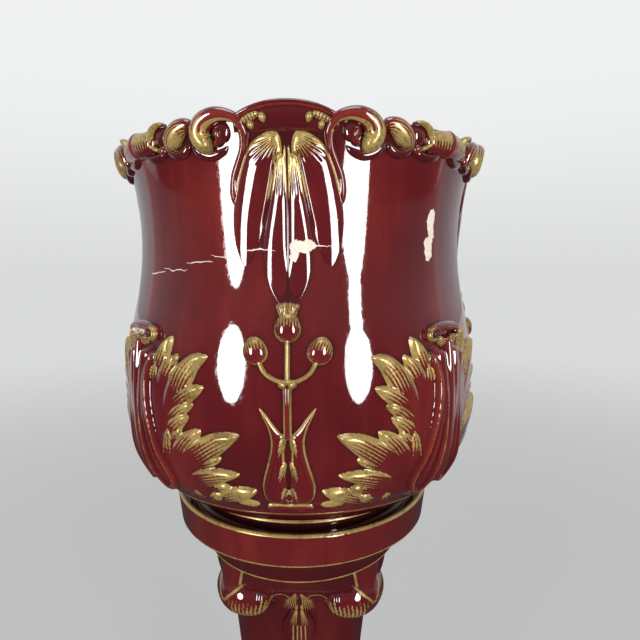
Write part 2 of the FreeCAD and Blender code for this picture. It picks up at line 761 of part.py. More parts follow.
def raised(name, outline, azimuth, skin, core):
    """Ornament of an outline, standing up to a skin above the wall."""
    sketch = sketch_at(f"{name}_outline", upright(azimuth), outline)
    prism = extruded(f"{name}_prism", sketch, outward(azimuth), "1.5 * belly_radius")
    above = shared(f"{name}_above", [prism, skin])
    return less(f"{name}_relief", above, core)


def make_drapes(core, cutters):
    """Two pairs of drooping leaves under each crest."""
    skin = lobed_skin("drape_skin", "drape_relief", "shoulder_level / 2", "bowl_height")
    top = "bowl_level + drape_top"
    inner_top = "bowl_level + drape_inner_top"

    def outer(sign):
        points = ((0.13, 0), (0.32, -0.01), (0.55, 0.05), (0.74, 0.16), (0.89, 0.34), (0.98, 0.53),
                  (1.0, 0.72), (0.92, 0.89), (0.72, 1.0), (0.53, 0.83), (0.43, 0.6), (0.35, 0.38),
                  (0.24, 0.17))
        return [(f"drape_reach * {sign * across}", f"{top} - drape_drop * {down}")
                for across, down in points]

    def inner(sign):
        points = ((0.06, 0.02), (0.33, 0), (0.62, 0.03), (0.85, 0.15), (1.0, 0.33), (0.98, 0.55),
                  (0.75, 0.77), (0.45, 0.92), (0.06, 1.0))
        return [(f"drape_inner_reach * {sign * across}", f"{inner_top} - drape_inner_drop * {down}")
                for across, down in points]

    leaves = []
    for hand, sign in HANDS.items():
        leaves.append(raised(f"drape_outer_{hand}", outer(sign), 0, skin, core))
        leaves.append(raised(f"drape_inner_{hand}", inner(sign), 0, skin, core))
    group = doc.addObject("Part::Compound", "drape_group")
    group.Links = leaves
    copies("drape_leaves", less("drape_master", group, cutters), SIDES)


def bud(name, across, level, half_width, half_height, tilt):
    """One egg-shaped bud bedded on the wall."""
    egg = doc.addObject("Part::Ellipsoid", name)
    egg.setExpression("Radius1", bound("bud_relief + bud_bed"))
    egg.setExpression("Radius2", bound(half_height))
    egg.setExpression("Radius3", bound(half_width))
    wall = wall_radius(value(level))
    turn = Rotation(UP, math.degrees(value(across) / wall)) * Rotation(Vector(0, 1, 0), tilt)
    egg.Placement = Placement(Vector(value(across), value("bud_bed") - wall, 0)
                              + UP * value(f"bowl_level + {level}"),
                              turn * Rotation(Vector(1, 0, 0), 90))
    return egg


def wall_radius(level):
    """The radius of a face at a height above the foot ring."""
    turn = value("belly_level + turn_rise * belly_arc")
    if level < value("shoulder_level"):
        return value("shoulder_axis") + math.sqrt(value("shoulder_arc") ** 2
                                                  - (value("shoulder_centre") - level) ** 2)
    if level < turn:
        return value("belly_axis") + math.sqrt(value("belly_arc") ** 2
                                               - (level - value("belly_level")) ** 2)
    return value("waist_axis") - math.sqrt(value("waist_arc") ** 2
                                           - (level - value("waist_level")) ** 2)


def make_thistles(core):
    """A thistle sprig on each face: three buds, their stems and a pair of tulip leaves."""
    skin = lobed_skin("sprig_skin", "sprig_relief", "0", "bowl_height")
    level = "bowl_level + "
    outline = mirrored([
        ("0", level + "sprig_top"),
        ("bud_radius * 0.9", level + "sprig_top - 1"),
        ("bud_radius * 0.55", level + "bud_level + bud_radius * 0.8"),
        ("bud_stem_width", level + "bud_level"),
        ("bud_stem_width / 2", level + "fork_level + 2"),
        ("stem_half_width * 2.2", level + "fork_level"),
        ("stem_half_width", level + "fork_level - 6"),
        ("stem_half_width", level + "fork_level - 41"),
        ("tulip_reach * 0.96", level + "fork_level - 21", "tulip_reach * 1.3", 1),
        ("tulip_reach * 0.57", level + "fork_level - 45", "tulip_reach * 1.6", -1),
        ("tulip_reach", level + "sprig_foot + 24", "tulip_reach * 6", 1),
        ("tulip_reach * 0.7", level + "sprig_foot + 10", "tulip_reach * 0.7", -1),
        ("tulip_reach * 0.9", level + "sprig_foot + 6"),
        ("tulip_reach * 0.9", level + "sprig_foot"),
        ("0", level + "sprig_foot"),
    ])
    leaves = raised("sprig", outline, 0, skin, core)
    rise = "side_bud_level - fork_level"
    arms = raised("sprig_arms", mirrored([
        ("0", level + "fork_level + bud_stem_width"),
        (f"{rise} - bud_stem_width", level + "side_bud_level", f"{rise} - bud_stem_width", 1),
        (rise, level + "side_bud_level"),
        ("0", level + "fork_level", rise, -1),
    ]), 0, skin, core)
    buds = [bud("middle_bud", "0", "bud_level", "bud_radius", "bud_radius", 0)]
    for sign in HANDS.values():
        buds.append(bud(f"side_bud_{'right' if sign > 0 else 'left'}", f"{sign} * side_bud_place",
                        "side_bud_level", "side_bud_radius", "side_bud_radius * 1.1",
                        value(f"{sign} * bud_tilt")))
    seated = less("buds_seated", fused("buds", buds), core)
    copies("thistle_sprig", fused("thistle_master", [leaves, arms, seated]), SIDES)


def make_acanthus(core):
    """The spreading corner leaves with a rolled knob at their head, one on each ridge."""
    skin = lobed_skin("acanthus_skin", "acanthus_relief", "0", "bowl_height")
    points = ((0.14, 1.0), (0.4, 0.99), (0.33, 0.85), (0.47, 0.89), (0.7, 0.9), (0.62, 0.77),
              (0.71, 0.74), (0.58, 0.62), (0.57, 0.55), (0.47, 0.47), (0.45, 0.39), (0.65, 0.48),
              (0.96, 0.49), (0.82, 0.35), (0.78, 0.27), (0.93, 0.25), (0.8, 0.14), (0.88, 0.17),
              (0.95, 0.12), (0.92, 0.01), (0.55, 0.05), (0.3, 0.1))
    height = "(acanthus_top - acanthus_foot)"
    outline = [("0", "bowl_level + acanthus_top")]
    outline += [(f"acanthus_reach * {across}",
                 f"bowl_level + acanthus_foot + {height} * {up}") for across, up in points]
    outline += [("0", f"bowl_level + acanthus_foot + {height} * 0.06")]
    leaves = raised("acanthus", mirrored(outline), 0, skin, corner_core(core))
    stalks = make_stalks(core)
    radius = wall_radius(value("knob_level")) + value("knob_overhang")
    level = value("bowl_level + knob_level")

    def path(share):
        along = 2 * share - 1
        return Vector(value("knob_half_length") * along, value("knob_wrap") * along ** 2 - radius,
                      level - value("knob_droop") * along ** 2)

    size = swell(value("knob_radius") * 0.55, value("knob_radius"))
    knob = horn("knob_roll", path, size, size, lambda share: UP, 4)
    seated = less("knob_seated", knob, corner_core(core))
    copies("acanthus", fused("acanthus_master", [leaves, seated] + stalks), CORNERS)


def make_stalks(core):
    """The three ribs of the corner stalk, spreading from the knob down to the foot."""
    skin = lobed_skin("stalk_skin", "stalk_relief", "0", "bowl_height")
    ribs = []
    for name, spread in (("left", -1), ("middle", 0), ("right", 1)):
        head = f"{spread} * stalk_half_width * 0.9"
        foot = f"{spread} * stalk_half_width * 2.3"
        outline = [
            (f"{head} - stalk_half_width * 0.35", "bowl_level + acanthus_top"),
            (f"{foot} - stalk_half_width", "bowl_level + acanthus_foot + stalk_half_width * 1.5"),
            (foot, "bowl_level + acanthus_foot + stalk_half_width * 0.5"),
            (f"{foot} + stalk_half_width", "bowl_level + acanthus_foot + stalk_half_width * 1.5"),
            (f"{head} + stalk_half_width * 0.35", "bowl_level + acanthus_top"),
        ]
        ribs.append(raised(f"stalk_{name}", outline, 0, skin, corner_core(core)))
    return ribs


def corner_core(core):
    """The bowl's solid form turned so that a ridge faces the front."""
    doc.recompute()
    turned = doc.getObject("corner_core")
    if turned is None:
        turned = doc.addObject("Part::Feature", "corner_core")
        turned.Shape = core.Shape
        turned.Placement = Placement(Vector(0, 0, 0), Rotation(UP, 45))
    return turned


# ---------------------------------------------------------------- the rim

def on_rim(along, level, out=0.0):
    """A point by its length round the rim from the face's middle, its height and overhang."""
    radius = value("belly_radius")
    setback = value("lobe_setback")
    turn = along / radius
    reach = wall_radius(level) + setback * (1 - math.cos(turn)) + out
    return Vector(reach * math.sin(turn), -reach * math.cos(turn),
                  value("bowl_level") + level)


def outward_at(along):
    """The outward direction at a length round the rim."""
    turn = along / value("belly_radius")
    return lambda share: Vector(math.sin(turn), -math.cos(turn), 0)


def make_rim(core, cavity, bowl):
    """Crests, large scrolls, small curls and corner rolls, each seated on its neighbours."""
    overhang = value("roll_overhang")
    middle = value("scroll_place")
    level = value("scroll_level")

    def scroll_path(share):
        angle = math.radians(value("scroll_lean") - value("scroll_turn") * share)
        reach = value("scroll_reach") * (1 - share) + value("scroll_tail") * share
        rise = value("scroll_squash") * reach * math.sin(angle)
        return on_rim(middle + reach * math.cos(angle), level + rise, overhang)

    bulge = swell(value("scroll_thin"), value("scroll_fat"), 0.62)
    depth = swell(value("scroll_thin"), value("scroll_depth"), 0.62)
    coil = horn("scroll_horn", scroll_path, bulge, depth, outward_at(middle), 8)
    eye = doc.addObject("Part::Sphere", "scroll_ball")
    eye.setExpression("Radius", bound("scroll_eye"))
    eye.Placement = Placement(on_rim(middle - value("scroll_tail / 2"),
                                     level - value("scroll_tail / 2"), overhang), Rotation())
    scroll = less("rim_scroll_master", fused("scroll_whole", [coil, eye]), bowl)

    curl_middle = value("curl_place")
    curl_level = value("curl_level")
    half = value("curl_length / 2")

    def curl_path(share):
        along = half * (2 * share - 1)
        return on_rim(curl_middle + along, curl_level - value("curl_slope") * along, overhang)

    size = swell(value("curl_thin"), value("curl_fat"), 0.66)
    curl = horn("curl_horn", curl_path, size, size, lambda share: UP, 5)
    curl = less("curl_on_wall", curl, bowl)
    curl = less("rim_curl_master", curl, scroll)

    handed_copies("rim_scroll", scroll)
    handed_copies("rim_curl", curl)
    make_corner_rolls(bowl)
    return make_crests(core, cavity, bowl)


def make_corner_rolls(bowl):
    """The roll on each corner of the rim, with a bead under each of its ends.

    It is drawn with its ridge to the front, where the faces on its two sides mirror.
    """
    corner = value("belly_radius") * math.pi / 4
    half = value("corner_roll_half")
    level = value("corner_roll_level")
    to_front = Rotation(UP, -45)

    def beside_ridge(along, height, out):
        place = to_front.multVec(on_rim(corner - abs(along), height, out))
        return Vector(math.copysign(place.x, along), place.y, place.z)

    def path(share):
        return beside_ridge(half * (2 * share - 1), level, value("roll_overhang"))

    size = swell(value("corner_roll_fat * 0.5"), value("corner_roll_fat"))
    roll = horn("corner_horn", path, size, size, lambda share: UP, 8)
    beads = []
    for hand, sign in HANDS.items():
        bead = doc.addObject("Part::Sphere", f"corner_bead_{hand}")
        bead.setExpression("Radius", bound("corner_bead"))
        bead.Placement = Placement(beside_ridge(sign * half * 0.86, value(
            "corner_roll_level - corner_roll_fat * 0.75"), 0), Rotation())
        beads.append(bead)
    whole = fused("corner_roll_whole", [roll] + beads)
    doc.recompute()
    behind = doc.addObject("Part::Feature", "corner_neighbours")
    behind.Shape = bowl.Shape.fuse([parts["rim_curl_front_right"].Shape,
                                    parts["rim_curl_right_left"].Shape])
    behind.Placement = Placement(Vector(0, 0, 0), to_front)
    copies("corner_roll", less("corner_roll_master", whole, behind), CORNERS)


def make_crests(core, cavity, bowl):
    """The arched crest in the middle of each side, edged by a roll and ended by beads."""
    skin = lobed_skin("crest_skin", "crest_relief", "shoulder_level / 2", "crest_height + 5")
    half = "crest_half_width"
    rise = "(crest_height - crest_spring)"
    arc = f"({half} ^ 2 + {rise} ^ 2) / (2 * {rise})"
    level = "bowl_level + "
    sketch = sketch_at("crest_outline", upright(), [
        (f"-{half}", level + "bowl_height"),
        (half, level + "bowl_height"),
        (half, level + "crest_spring"),
        ("0", level + "crest_height", arc, 1),
        (f"-{half}", level + "crest_spring", arc, 1),
    ])
    inner_half = f"({half} - crest_roll)"
    inner_arc = f"({inner_half} ^ 2 + {rise} ^ 2) / (2 * {rise})"
    panel = sketch_at("crest_panel", upright(), [
        (f"-{inner_half}", level + "bowl_height - crest_roll"),
        (inner_half, level + "bowl_height - crest_roll"),
        (inner_half, level + "crest_spring - crest_roll"),
        ("0", level + "crest_height - crest_roll", inner_arc, 1),
        (f"-{inner_half}", level + "crest_spring - crest_roll", inner_arc, 1),
    ])
    whole = shared("crest_whole", [extruded("crest_prism", sketch, outward(0), "1.5 * belly_radius"),
                                   skin])
    flush = lobed_skin("crest_flush", "0", "shoulder_level / 2", "crest_height + 5")
    recess = less("crest_recess", extruded("crest_panel_prism", panel, outward(0),
                                           "1.5 * belly_radius"), flush)
    edged = less("crest_edged", whole, recess)
    open_crest = less("crest_open", edged, cavity)
    beads = []
    for hand, sign in HANDS.items():
        bead = doc.addObject("Part::Sphere", f"crest_bead_{hand}")
        bead.setExpression("Radius", bound("crest_bead"))
        place = on_rim(sign * value("crest_half_width * 0.45"), value("crest_spring + 2"), 2)
        bead.Placement = Placement(place, Rotation())
        beads.append(bead)
    beaded = fused("crest_beaded", [open_crest] + beads)
    seated = less("crest_seated", beaded, bowl)
    doc.recompute()
    scrolls = doc.addObject("Part::Feature", "front_scrolls")
    scrolls.Shape = parts["rim_scroll_front_right"].Shape.fuse(
        parts["rim_scroll_front_left"].Shape)
    crest = less("crest_master", seated, scrolls)
    copies("rim_crest", crest, SIDES)
    doc.recompute()
    cutters = doc.addObject("Part::Feature", "drape_cutters")
    cutters.Shape = scrolls.Shape.fuse(crest.Shape)
    return cutters


# ---------------------------------------------------------------- build and write

def build():
    make_dish()
    make_neck()
    capital = make_capital()
    shaft = make_shaft()
    make_volutes(capital, shaft)
    make_consoles(make_base(), shaft)
    make_foot_ring()
    core, cavity, bowl = make_bowl()
    cutters = make_rim(core, cavity, bowl)
    make_drapes(core, cutters)
    make_thistles(core)
    make_acanthus(core)
    doc.recompute()


def check():
    """Stop if any object failed or any sub-part is not a sound solid."""
    for item in doc.Objects:
        if "Invalid" in item.State or "Error" in item.State:
            raise RuntimeError(f"{item.Name} failed: {item.State}")
    for name, item in parts.items():
        if item.Shape.isNull() or not item.Shape.isValid() or not item.Shape.Solids:
            raise RuntimeError(f"{name} is not a sound solid")


def write():
    os.makedirs("parts", exist_ok=True)
    for name, item in parts.items():
        item.Shape.exportStep(f"parts/{name}.step")


build()
check()
write()
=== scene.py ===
"""Glazed earthenware jardiniere on its pedestal stand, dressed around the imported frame.

Lengths inside the form functions are millimetres, and heights there are counted from the bowl's foot.
"""
import math

import bpy
import numpy as np
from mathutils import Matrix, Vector


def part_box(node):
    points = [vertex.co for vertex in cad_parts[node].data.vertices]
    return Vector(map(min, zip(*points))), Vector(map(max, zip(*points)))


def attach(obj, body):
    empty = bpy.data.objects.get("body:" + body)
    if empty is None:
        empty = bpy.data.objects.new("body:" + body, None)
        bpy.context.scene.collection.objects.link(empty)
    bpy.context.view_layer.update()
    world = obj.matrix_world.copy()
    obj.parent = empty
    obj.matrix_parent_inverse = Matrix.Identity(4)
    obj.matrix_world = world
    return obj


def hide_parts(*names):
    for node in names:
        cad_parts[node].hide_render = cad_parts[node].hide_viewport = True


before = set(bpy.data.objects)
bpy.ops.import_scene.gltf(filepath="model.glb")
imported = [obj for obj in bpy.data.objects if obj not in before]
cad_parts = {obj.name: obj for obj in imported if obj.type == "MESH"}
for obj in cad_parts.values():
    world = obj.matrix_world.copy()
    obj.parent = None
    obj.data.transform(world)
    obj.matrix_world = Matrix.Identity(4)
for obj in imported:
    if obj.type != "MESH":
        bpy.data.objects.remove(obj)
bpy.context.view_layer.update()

bl_info = {
    "name": "Jardiniere on stand",
    "version": (1, 0, 0),
    "blender": (4, 5, 0),
    "location": "View3D > Sidebar > Jardiniere",
    "description": "Glazed and gilded earthenware jardiniere on a pedestal stand",
    "category": "Object",
}

MM = 0.001
QUARTER = math.pi / 2
SIDES = {"front": 0, "right": 90, "back": 180, "left": 270}
CORNERS = {"front_right": 45, "back_right": 135, "back_left": 225, "front_left": 315}
HANDS = {"right": 1, "left": -1}
TURN = 2 * math.pi
ROUND = 185.0                    # a length round the bowl over this radius is its azimuth
RIDGE = ROUND * QUARTER / 2      # from the middle of a face to the ridge, round the bowl
SINK = 1.2                       # how deep an ornament's edge dips into the wall

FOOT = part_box("bowl")[0][2] / MM
WALL_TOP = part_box("bowl")[1][2] / MM - FOOT
SETBACK = 19.5
WALL = 9.0
FLOOR = 12.0
FOOT_RADIUS = 131.0
SHOULDER_LEVEL, SHOULDER_AXIS, SHOULDER_CENTRE, SHOULDER_ARC = 91.0, 74.45, 102.35, 116.94
BELLY_LEVEL, BELLY_AXIS, BELLY_ARC = 125.0, -157.5, 350.0
WAIST_LEVEL, WAIST_AXIS, WAIST_ARC = 273.0, 459.6, 284.6
TURN_LEVEL = 206.6


# ---------------------------------------------------------------- the bowl's surface

def face_radius(level):
    """The wall's radius at the middle of a face, from its three arcs."""
    level = np.asarray(level, float)
    low = SHOULDER_AXIS + np.sqrt(np.maximum(SHOULDER_ARC ** 2 - (SHOULDER_CENTRE - level) ** 2, 0))
    middle = BELLY_AXIS + np.sqrt(np.maximum(BELLY_ARC ** 2 - (level - BELLY_LEVEL) ** 2, 0))
    high = WAIST_AXIS - np.sqrt(np.maximum(WAIST_ARC ** 2 - (level - WAIST_LEVEL) ** 2, 0))
    return np.where(level < SHOULDER_LEVEL, low, np.where(level < TURN_LEVEL, middle, high))


def folded(azimuth):
    """The angle from the middle of the nearest face."""
    return (azimuth + QUARTER / 2) % QUARTER - QUARTER / 2


def on_wall(azimuth, level, height=0.0):
    """Points a height above the four-lobed wall, in metres; azimuth 0 is the front."""
    azimuth = np.asarray(azimuth, float)
    level = np.asarray(level, float)
    turn = folded(azimuth)
    reach = face_radius(level) + SETBACK
    reach = np.sqrt(reach ** 2 - (SETBACK * np.sin(turn)) ** 2) - SETBACK * np.cos(turn)
    slope = face_radius(level + 0.5) - face_radius(level - 0.5)
    steep = np.sqrt(1 + slope ** 2)
    reach = reach + height / steep
    points = np.stack(np.broadcast_arrays(reach * np.sin(azimuth), -reach * np.cos(azimuth),
                                          FOOT + level - height * slope / steep), -1)
    return points * MM


def turned(points, degrees):
    """Points turned about the vertical axis."""
    angle = math.radians(degrees)
    cosine, sine = math.cos(angle), math.sin(angle)
    out = np.array(points, float)
    out[..., 0] = points[..., 0] * cosine - points[..., 1] * sine
    out[..., 1] = points[..., 0] * sine + points[..., 1] * cosine
    return out


# ---------------------------------------------------------------- mesh helpers

def linked(name, data):
    """A new object in the scene."""
    item = bpy.data.objects.new(name, data)
    bpy.context.scene.collection.objects.link(item)
    return item


def write_masks(mesh, masks):
    """Named values over a mesh's points."""
    for mask, values in masks.items():
        layer = mesh.attributes.new(mask, "FLOAT", "POINT")
        layer.data.foreach_set("value", np.asarray(values, np.float32).ravel())


def build_mesh(name, points, quads, masks, material):
    """A smooth mesh object from points, quads and named masks over its points."""
    mesh = bpy.data.meshes.new(name)
    count, faces = len(points), len(quads)
    mesh.vertices.add(count)
    mesh.vertices.foreach_set("co", np.asarray(points, np.float32).ravel())
    mesh.loops.add(4 * faces)
    mesh.loops.foreach_set("vertex_index", np.asarray(quads, np.int32).ravel())
    mesh.polygons.add(faces)
    mesh.polygons.foreach_set("loop_start", np.arange(0, 4 * faces, 4, dtype=np.int32))
    mesh.polygons.foreach_set("use_smooth", np.ones(faces, bool))
    mesh.update(calc_edges=True)
    mesh.validate()
    write_masks(mesh, masks)
    mesh.materials.append(bpy.data.materials[material])
    return linked(name, mesh)


def joined(parts):
    """Several (points, quads, masks) made one."""
    points, quads, masks, start = [], [], {}, 0
    for piece_points, piece_quads, piece_masks in parts:
        points.append(piece_points)
        quads.append(piece_quads + start)
        start += len(piece_points)
        for mask, values in piece_masks.items():
            masks.setdefault(mask, []).append(np.asarray(values).ravel())
    return (np.concatenate(points), np.concatenate(quads),
            {mask: np.concatenate(values) for mask, values in masks.items()})


def to_front(part):
    """A part made on the corner ridge, turned to the front."""
    points, quads, masks = part
    return turned(points, -45), quads, masks


def placed(stem, part, places, body="jardiniere", mirrored=False):
    """Turned copies of one part, each of them standing for the node of its own name."""
    points, quads, masks = part
    hands = HANDS if mirrored else {"": 1}
    for place, azimuth in places.items():
        for hand, sign in hands.items():
            node = f"{stem}_{place}" + (f"_{hand}" if hand else "")
            copy = points * np.array([sign, 1, 1])
            piece = build_mesh(node + "_glazed", turned(copy, azimuth),
                               quads if sign > 0 else quads[:, ::-1], masks, "oxblood_relief")
            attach(piece, body)
            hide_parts(node)


# ---------------------------------------------------------------- outlines and heights

def curve_through(points, closed=False, per=8):
    """A smooth curve through a few points."""
    points = np.asarray(points, float)
    if closed:
        before, after, later = np.roll(points, 1, 0), np.roll(points, -1, 0), np.roll(points, -2, 0)
        start = points
    else:
        padded = np.vstack([2 * points[0] - points[1], points, 2 * points[-1] - points[-2]])
        before, start, after, later = padded[:-3], padded[1:-2], padded[2:-1], padded[3:]
    share = np.linspace(0, 1, per, endpoint=False)[:, None, None]
    curve = 0.5 * (2 * start + (after - before) * share
                   + (2 * before - 5 * start + 4 * after - later) * share ** 2
                   + (3 * start - before - 3 * after + later) * share ** 3)
    curve = curve.transpose(1, 0, 2).reshape(-1, points.shape[1])
    return curve if closed else np.vstack([curve, points[-1]])


def inside_distance(outline, across, level):
    """Distance to a smooth closed outline, positive inside it."""
    curve = curve_through(outline, closed=True, per=6)
    nearest = np.full(across.shape, 1e9)
    inside = np.zeros(across.shape, bool)
    for (ax, ay), (bx, by) in zip(curve, np.roll(curve, -1, 0)):
        dx, dy = bx - ax, by - ay
        share = np.clip(((across - ax) * dx + (level - ay) * dy) / (dx * dx + dy * dy + 1e-12), 0, 1)
        nearest = np.minimum(nearest, np.hypot(across - ax - share * dx, level - ay - share * dy))
        if ay != by:
            crosses = ((ay > level) != (by > level)) & (across < dx * (level - ay) / dy + ax)
            inside ^= crosses
    return np.where(inside, nearest, -nearest)


def along_line(points, across, level, per=6):
    """Distance to a smooth open line, share along it, and the signed sideways distance."""
    curve = curve_through(points, per=per)
    steps = np.hypot(*np.diff(curve, axis=0).T)
    travelled = np.concatenate([[0], np.cumsum(steps)]) / steps.sum()
    nearest = np.full(across.shape, 1e9)
    share_at = np.zeros(across.shape)
    sideways = np.zeros(across.shape)
    for index, ((ax, ay), (bx, by)) in enumerate(zip(curve[:-1], curve[1:])):
        dx, dy = bx - ax, by - ay
        share = np.clip(((across - ax) * dx + (level - ay) * dy) / (dx * dx + dy * dy + 1e-12), 0, 1)
        away = np.hypot(across - ax - share * dx, level - ay - share * dy)
        closer = away < nearest
        nearest = np.where(closer, away, nearest)
        share_at = np.where(closer, travelled[index] + share * (travelled[index + 1]
                                                                - travelled[index]), share_at)
        side = (dx * (level - ay) - dy * (across - ax)) / math.hypot(dx, dy)
        sideways = np.where(closer, side, sideways)
    return nearest, share_at, sideways


def step(low, high, x):
    """A smooth step from 0 at low to 1 at high."""
    share = np.clip((x - low) / (high - low), 0, 1)
    return share * share * (3 - 2 * share)


def waves(phase):
    """A smooth ripple between 0 and 1."""
    return 0.5 + 0.5 * np.cos(phase)


def domed(away, half_width, height, base=0.0, outside=-SINK):
    """A round-topped height across a line."""
    return np.where(away < half_width,
                    base + height * np.sqrt(np.maximum(1 - (away / half_width) ** 2, 0)), outside)


def cushion(distance, height, softness):
    """A height that rises softly inside an outline and dips into the wall outside it."""
    return np.where(distance > 0, height * (1 - np.exp(-np.maximum(distance, 0) / softness)),
                    np.maximum(distance * 1.2, -SINK))


def blurred(values, passes):
    """Values averaged with their neighbours a number of times."""
    out = values.copy()
    for _ in range(passes):
        padded = np.pad(out, 1, mode="edge")
        out = (padded[:-2, 1:-1] + padded[2:, 1:-1] + padded[1:-1, :-2] + padded[1:-1, 2:]
               + 2 * out) / 6
    return out


class Relief:
    """Ornament modelled as a height above the wall over a grid, with a gilding mask."""

    def __init__(self, low, high, bottom, top, pitch):
        self.pitch = pitch
        self.columns = np.linspace(low, high, int(round((high - low) / pitch)) + 1)
        self.rows = np.linspace(bottom, top, int(round((top - bottom) / pitch)) + 1)
        self.across, self.level = np.meshgrid(self.columns, self.rows)
        self.height = np.full(self.across.shape, -SINK)
        self.gold = np.zeros(self.across.shape)

    def raise_to(self, height, gold=0.0):
        """Keep the higher of what is there and a new form, with the new form's gilding."""
        above = height > self.height
        self.gold = np.where(above, gold, self.gold)
        self.height = np.maximum(self.height, height)

    def masks(self):
        """Gilding, thin glaze on what stands out, and deep glaze with painted shade in what lies back.
        """
        soft = blurred(self.height, int(round(2.6 / self.pitch)) ** 2)
        stands = self.height - soft
        # The pool mask darkens recesses and the low ground round the form: pooled glaze and painted
        # shade.
        return {"gold": np.clip(self.gold, 0, 1), "thin": np.clip(stands * 0.35, 0, 0.38),
                "pool": np.clip(-stands * 0.9 + 0.5 * (self.height < 0.2), 0, 1)}

    def solid(self, azimuth_of):
        """The closed solid: the raised surface, a back inside the wall and the edges."""
        count = self.height.size
        index = np.arange(count).reshape(self.height.shape)
        corners = np.stack([index[:-1, :-1], index[:-1, 1:], index[1:, 1:], index[1:, :-1]], -1)
        flat = self.height.ravel()
        quads = corners[flat[corners].max(-1) > -0.9]
        front = on_wall(azimuth_of(self.across), self.level, self.height).reshape(-1, 3)
        back = on_wall(azimuth_of(self.across), self.level, -3.0).reshape(-1, 3)
        starts = quads.ravel()
        ends = np.roll(quads, -1, 1).ravel()
        forward = starts.astype(np.int64) * count + ends
        open_edge = ~np.isin(forward, ends.astype(np.int64) * count + starts)
        first, second = starts[open_edge], ends[open_edge]
        walls = np.stack([second, first, first + count, second + count], -1)
        every = np.concatenate([quads, quads[:, ::-1] + count, walls])
        used, compact = np.unique(every, return_inverse=True)
        masks = {name: np.tile(values.ravel(), 2)[used] for name, values in self.masks().items()}
        return np.concatenate([front, back])[used], compact.reshape(every.shape), masks


def around_face(across):
    return across / ROUND


def around_corner(across):
    return QUARTER / 2 - across / ROUND


# ---------------------------------------------------------------- drooping leaves

def drape_form():
    """Two pairs of drooping leaves with comb cuts under their gilded shoulders."""
    relief = Relief(-54, 54, 208, 354, 0.68)
    side, level = np.abs(relief.across), relief.level
    tongue = [(33.5, 352), (32.5, 345), (34, 336), (38, 326), (42.5, 315), (43.4, 305), (45, 297.5),
              (47, 296), (49.4, 300), (50, 308), (47.6, 320), (42.8, 330), (39, 338), (37.6, 346),
              (38, 352)]
    edge = inside_distance(tongue, side, level)
    relief.raise_to(cushion(edge, 2.6, 1.4) * (0.35 + 0.65 * step(292, 312, level)), 0.0)
    outer = [(4.2, 334), (4.2, 342), (6, 348), (10, 350.6), (16, 349.4), (25, 345), (31, 339),
             (35.5, 331), (40, 321), (44, 308), (47, 296), (48.4, 285), (48, 272), (45, 258),
             (38, 246), (31, 252), (26, 264), (22, 278), (18, 292), (14.5, 306), (11, 321), (8.6, 331)]
    inner = [(0.8, 331), (3.2, 333.4), (7, 332.6), (9.6, 325), (13, 308), (16.5, 292), (20, 274),
             (21.5, 260), (20, 244), (15, 228), (7, 215), (0.8, 210)]
    edge = inside_distance(outer, side, level)
    core = inside_distance(inner, side, level)
    fade = 0.16 + 0.84 * step(246, 300, level)
    flank = 1.5 * np.exp(np.minimum(core, 0) / 5.0)
    body = np.where(edge > 0, (cushion(edge, 3.6, 5.2) + flank * step(0, 3, edge)) * fade,
                    cushion(edge, 3.6, 5.2))
    ray = np.degrees(np.arctan2(348.5 - level, side - 5.0))
    far = np.hypot(side - 5.0, level - 348.5)
    comb = 0.5 - 0.5 * np.cos(TURN * (ray - 33) / 8.4)
    reach = 30 - 7 * step(30, 75, ray)
    teeth = step(-0.12, 0.12, comb - step(4, reach, far) - 0.10)
    rim = step(2.4, 1.4, edge) * step(284, 318, level) * step(-0.7, 0.1, edge)
    rim = np.where(side < 12, rim * step(322, 332, level), rim)
    arch = step(3.6, 2.4, edge) * step(333, 340, level) * step(-0.7, 0.1, edge)
    outer_gold = np.maximum(np.maximum(teeth * step(-0.5, 0.3, edge) * (ray > -30), rim), arch)
    cuts = (1 - comb) * 0.55 * step(5, 10, far) * step(reach + 6, reach - 8, far) * step(1.5, 3, edge)
    relief.raise_to(body - np.where(edge > 0, cuts, 0), outer_gold)
    fade = 0.04 + 0.96 * step(214, 270, level)
    rib = np.where(core > 0, cushion(core, 3.4, 4.6) * fade, cushion(core, 3.4, 4.6))
    lean = np.degrees(np.arctan2(side - 2.6, 356 - level))
    comb = waves(TURN * (lean - 0.8) / 3.7)
    drop = 332 - level
    length = 22 + 5 * np.cos(lean * 0.9)
    teeth = step(-0.12, 0.12, comb - step(3, 26, drop * 26 / length) - 0.04)
    line = step(1.9, 1.1, core) * step(284, 318, level) * step(-0.7, 0.1, core)
    inner_gold = np.maximum(np.maximum(teeth * step(-0.5, 0.3, core), step(8, 4, drop)), line)
    cuts = (1 - comb) * 0.5 * step(2, 7, drop) * step(34, 22, drop) * step(0.8, 2, core)
    relief.raise_to(rib - np.where(core > 0, cuts, 0), inner_gold * step(-0.7, 0.1, core))
    return relief


# ---------------------------------------------------------------- thistle sprig

def ball(relief, across, level, half_width, half_height, height, tilt=0.0):
    """An egg-shaped boss and its normalised distance from the middle."""
    angle = math.radians(tilt)
    right = (relief.across - across) * math.cos(angle) + (relief.level - level) * math.sin(angle)
    up = -(relief.across - across) * math.sin(angle) + (relief.level - level) * math.cos(angle)
    share = np.hypot(right / half_width, up / half_height)
    outside = np.maximum((1 - share) * half_width * 1.5, -SINK)
    form = domed(share, 1.0, height, outside=outside)
    return form, share, right, up


def ridge(points, side, level, half_width, height):
    """A rounded ridge along a line, and the distance from that line."""
    away = along_line(points, side, level)[0]
    outside = np.maximum((half_width - away) * 1.5, -SINK)
    return domed(away, half_width, height, outside=outside), away


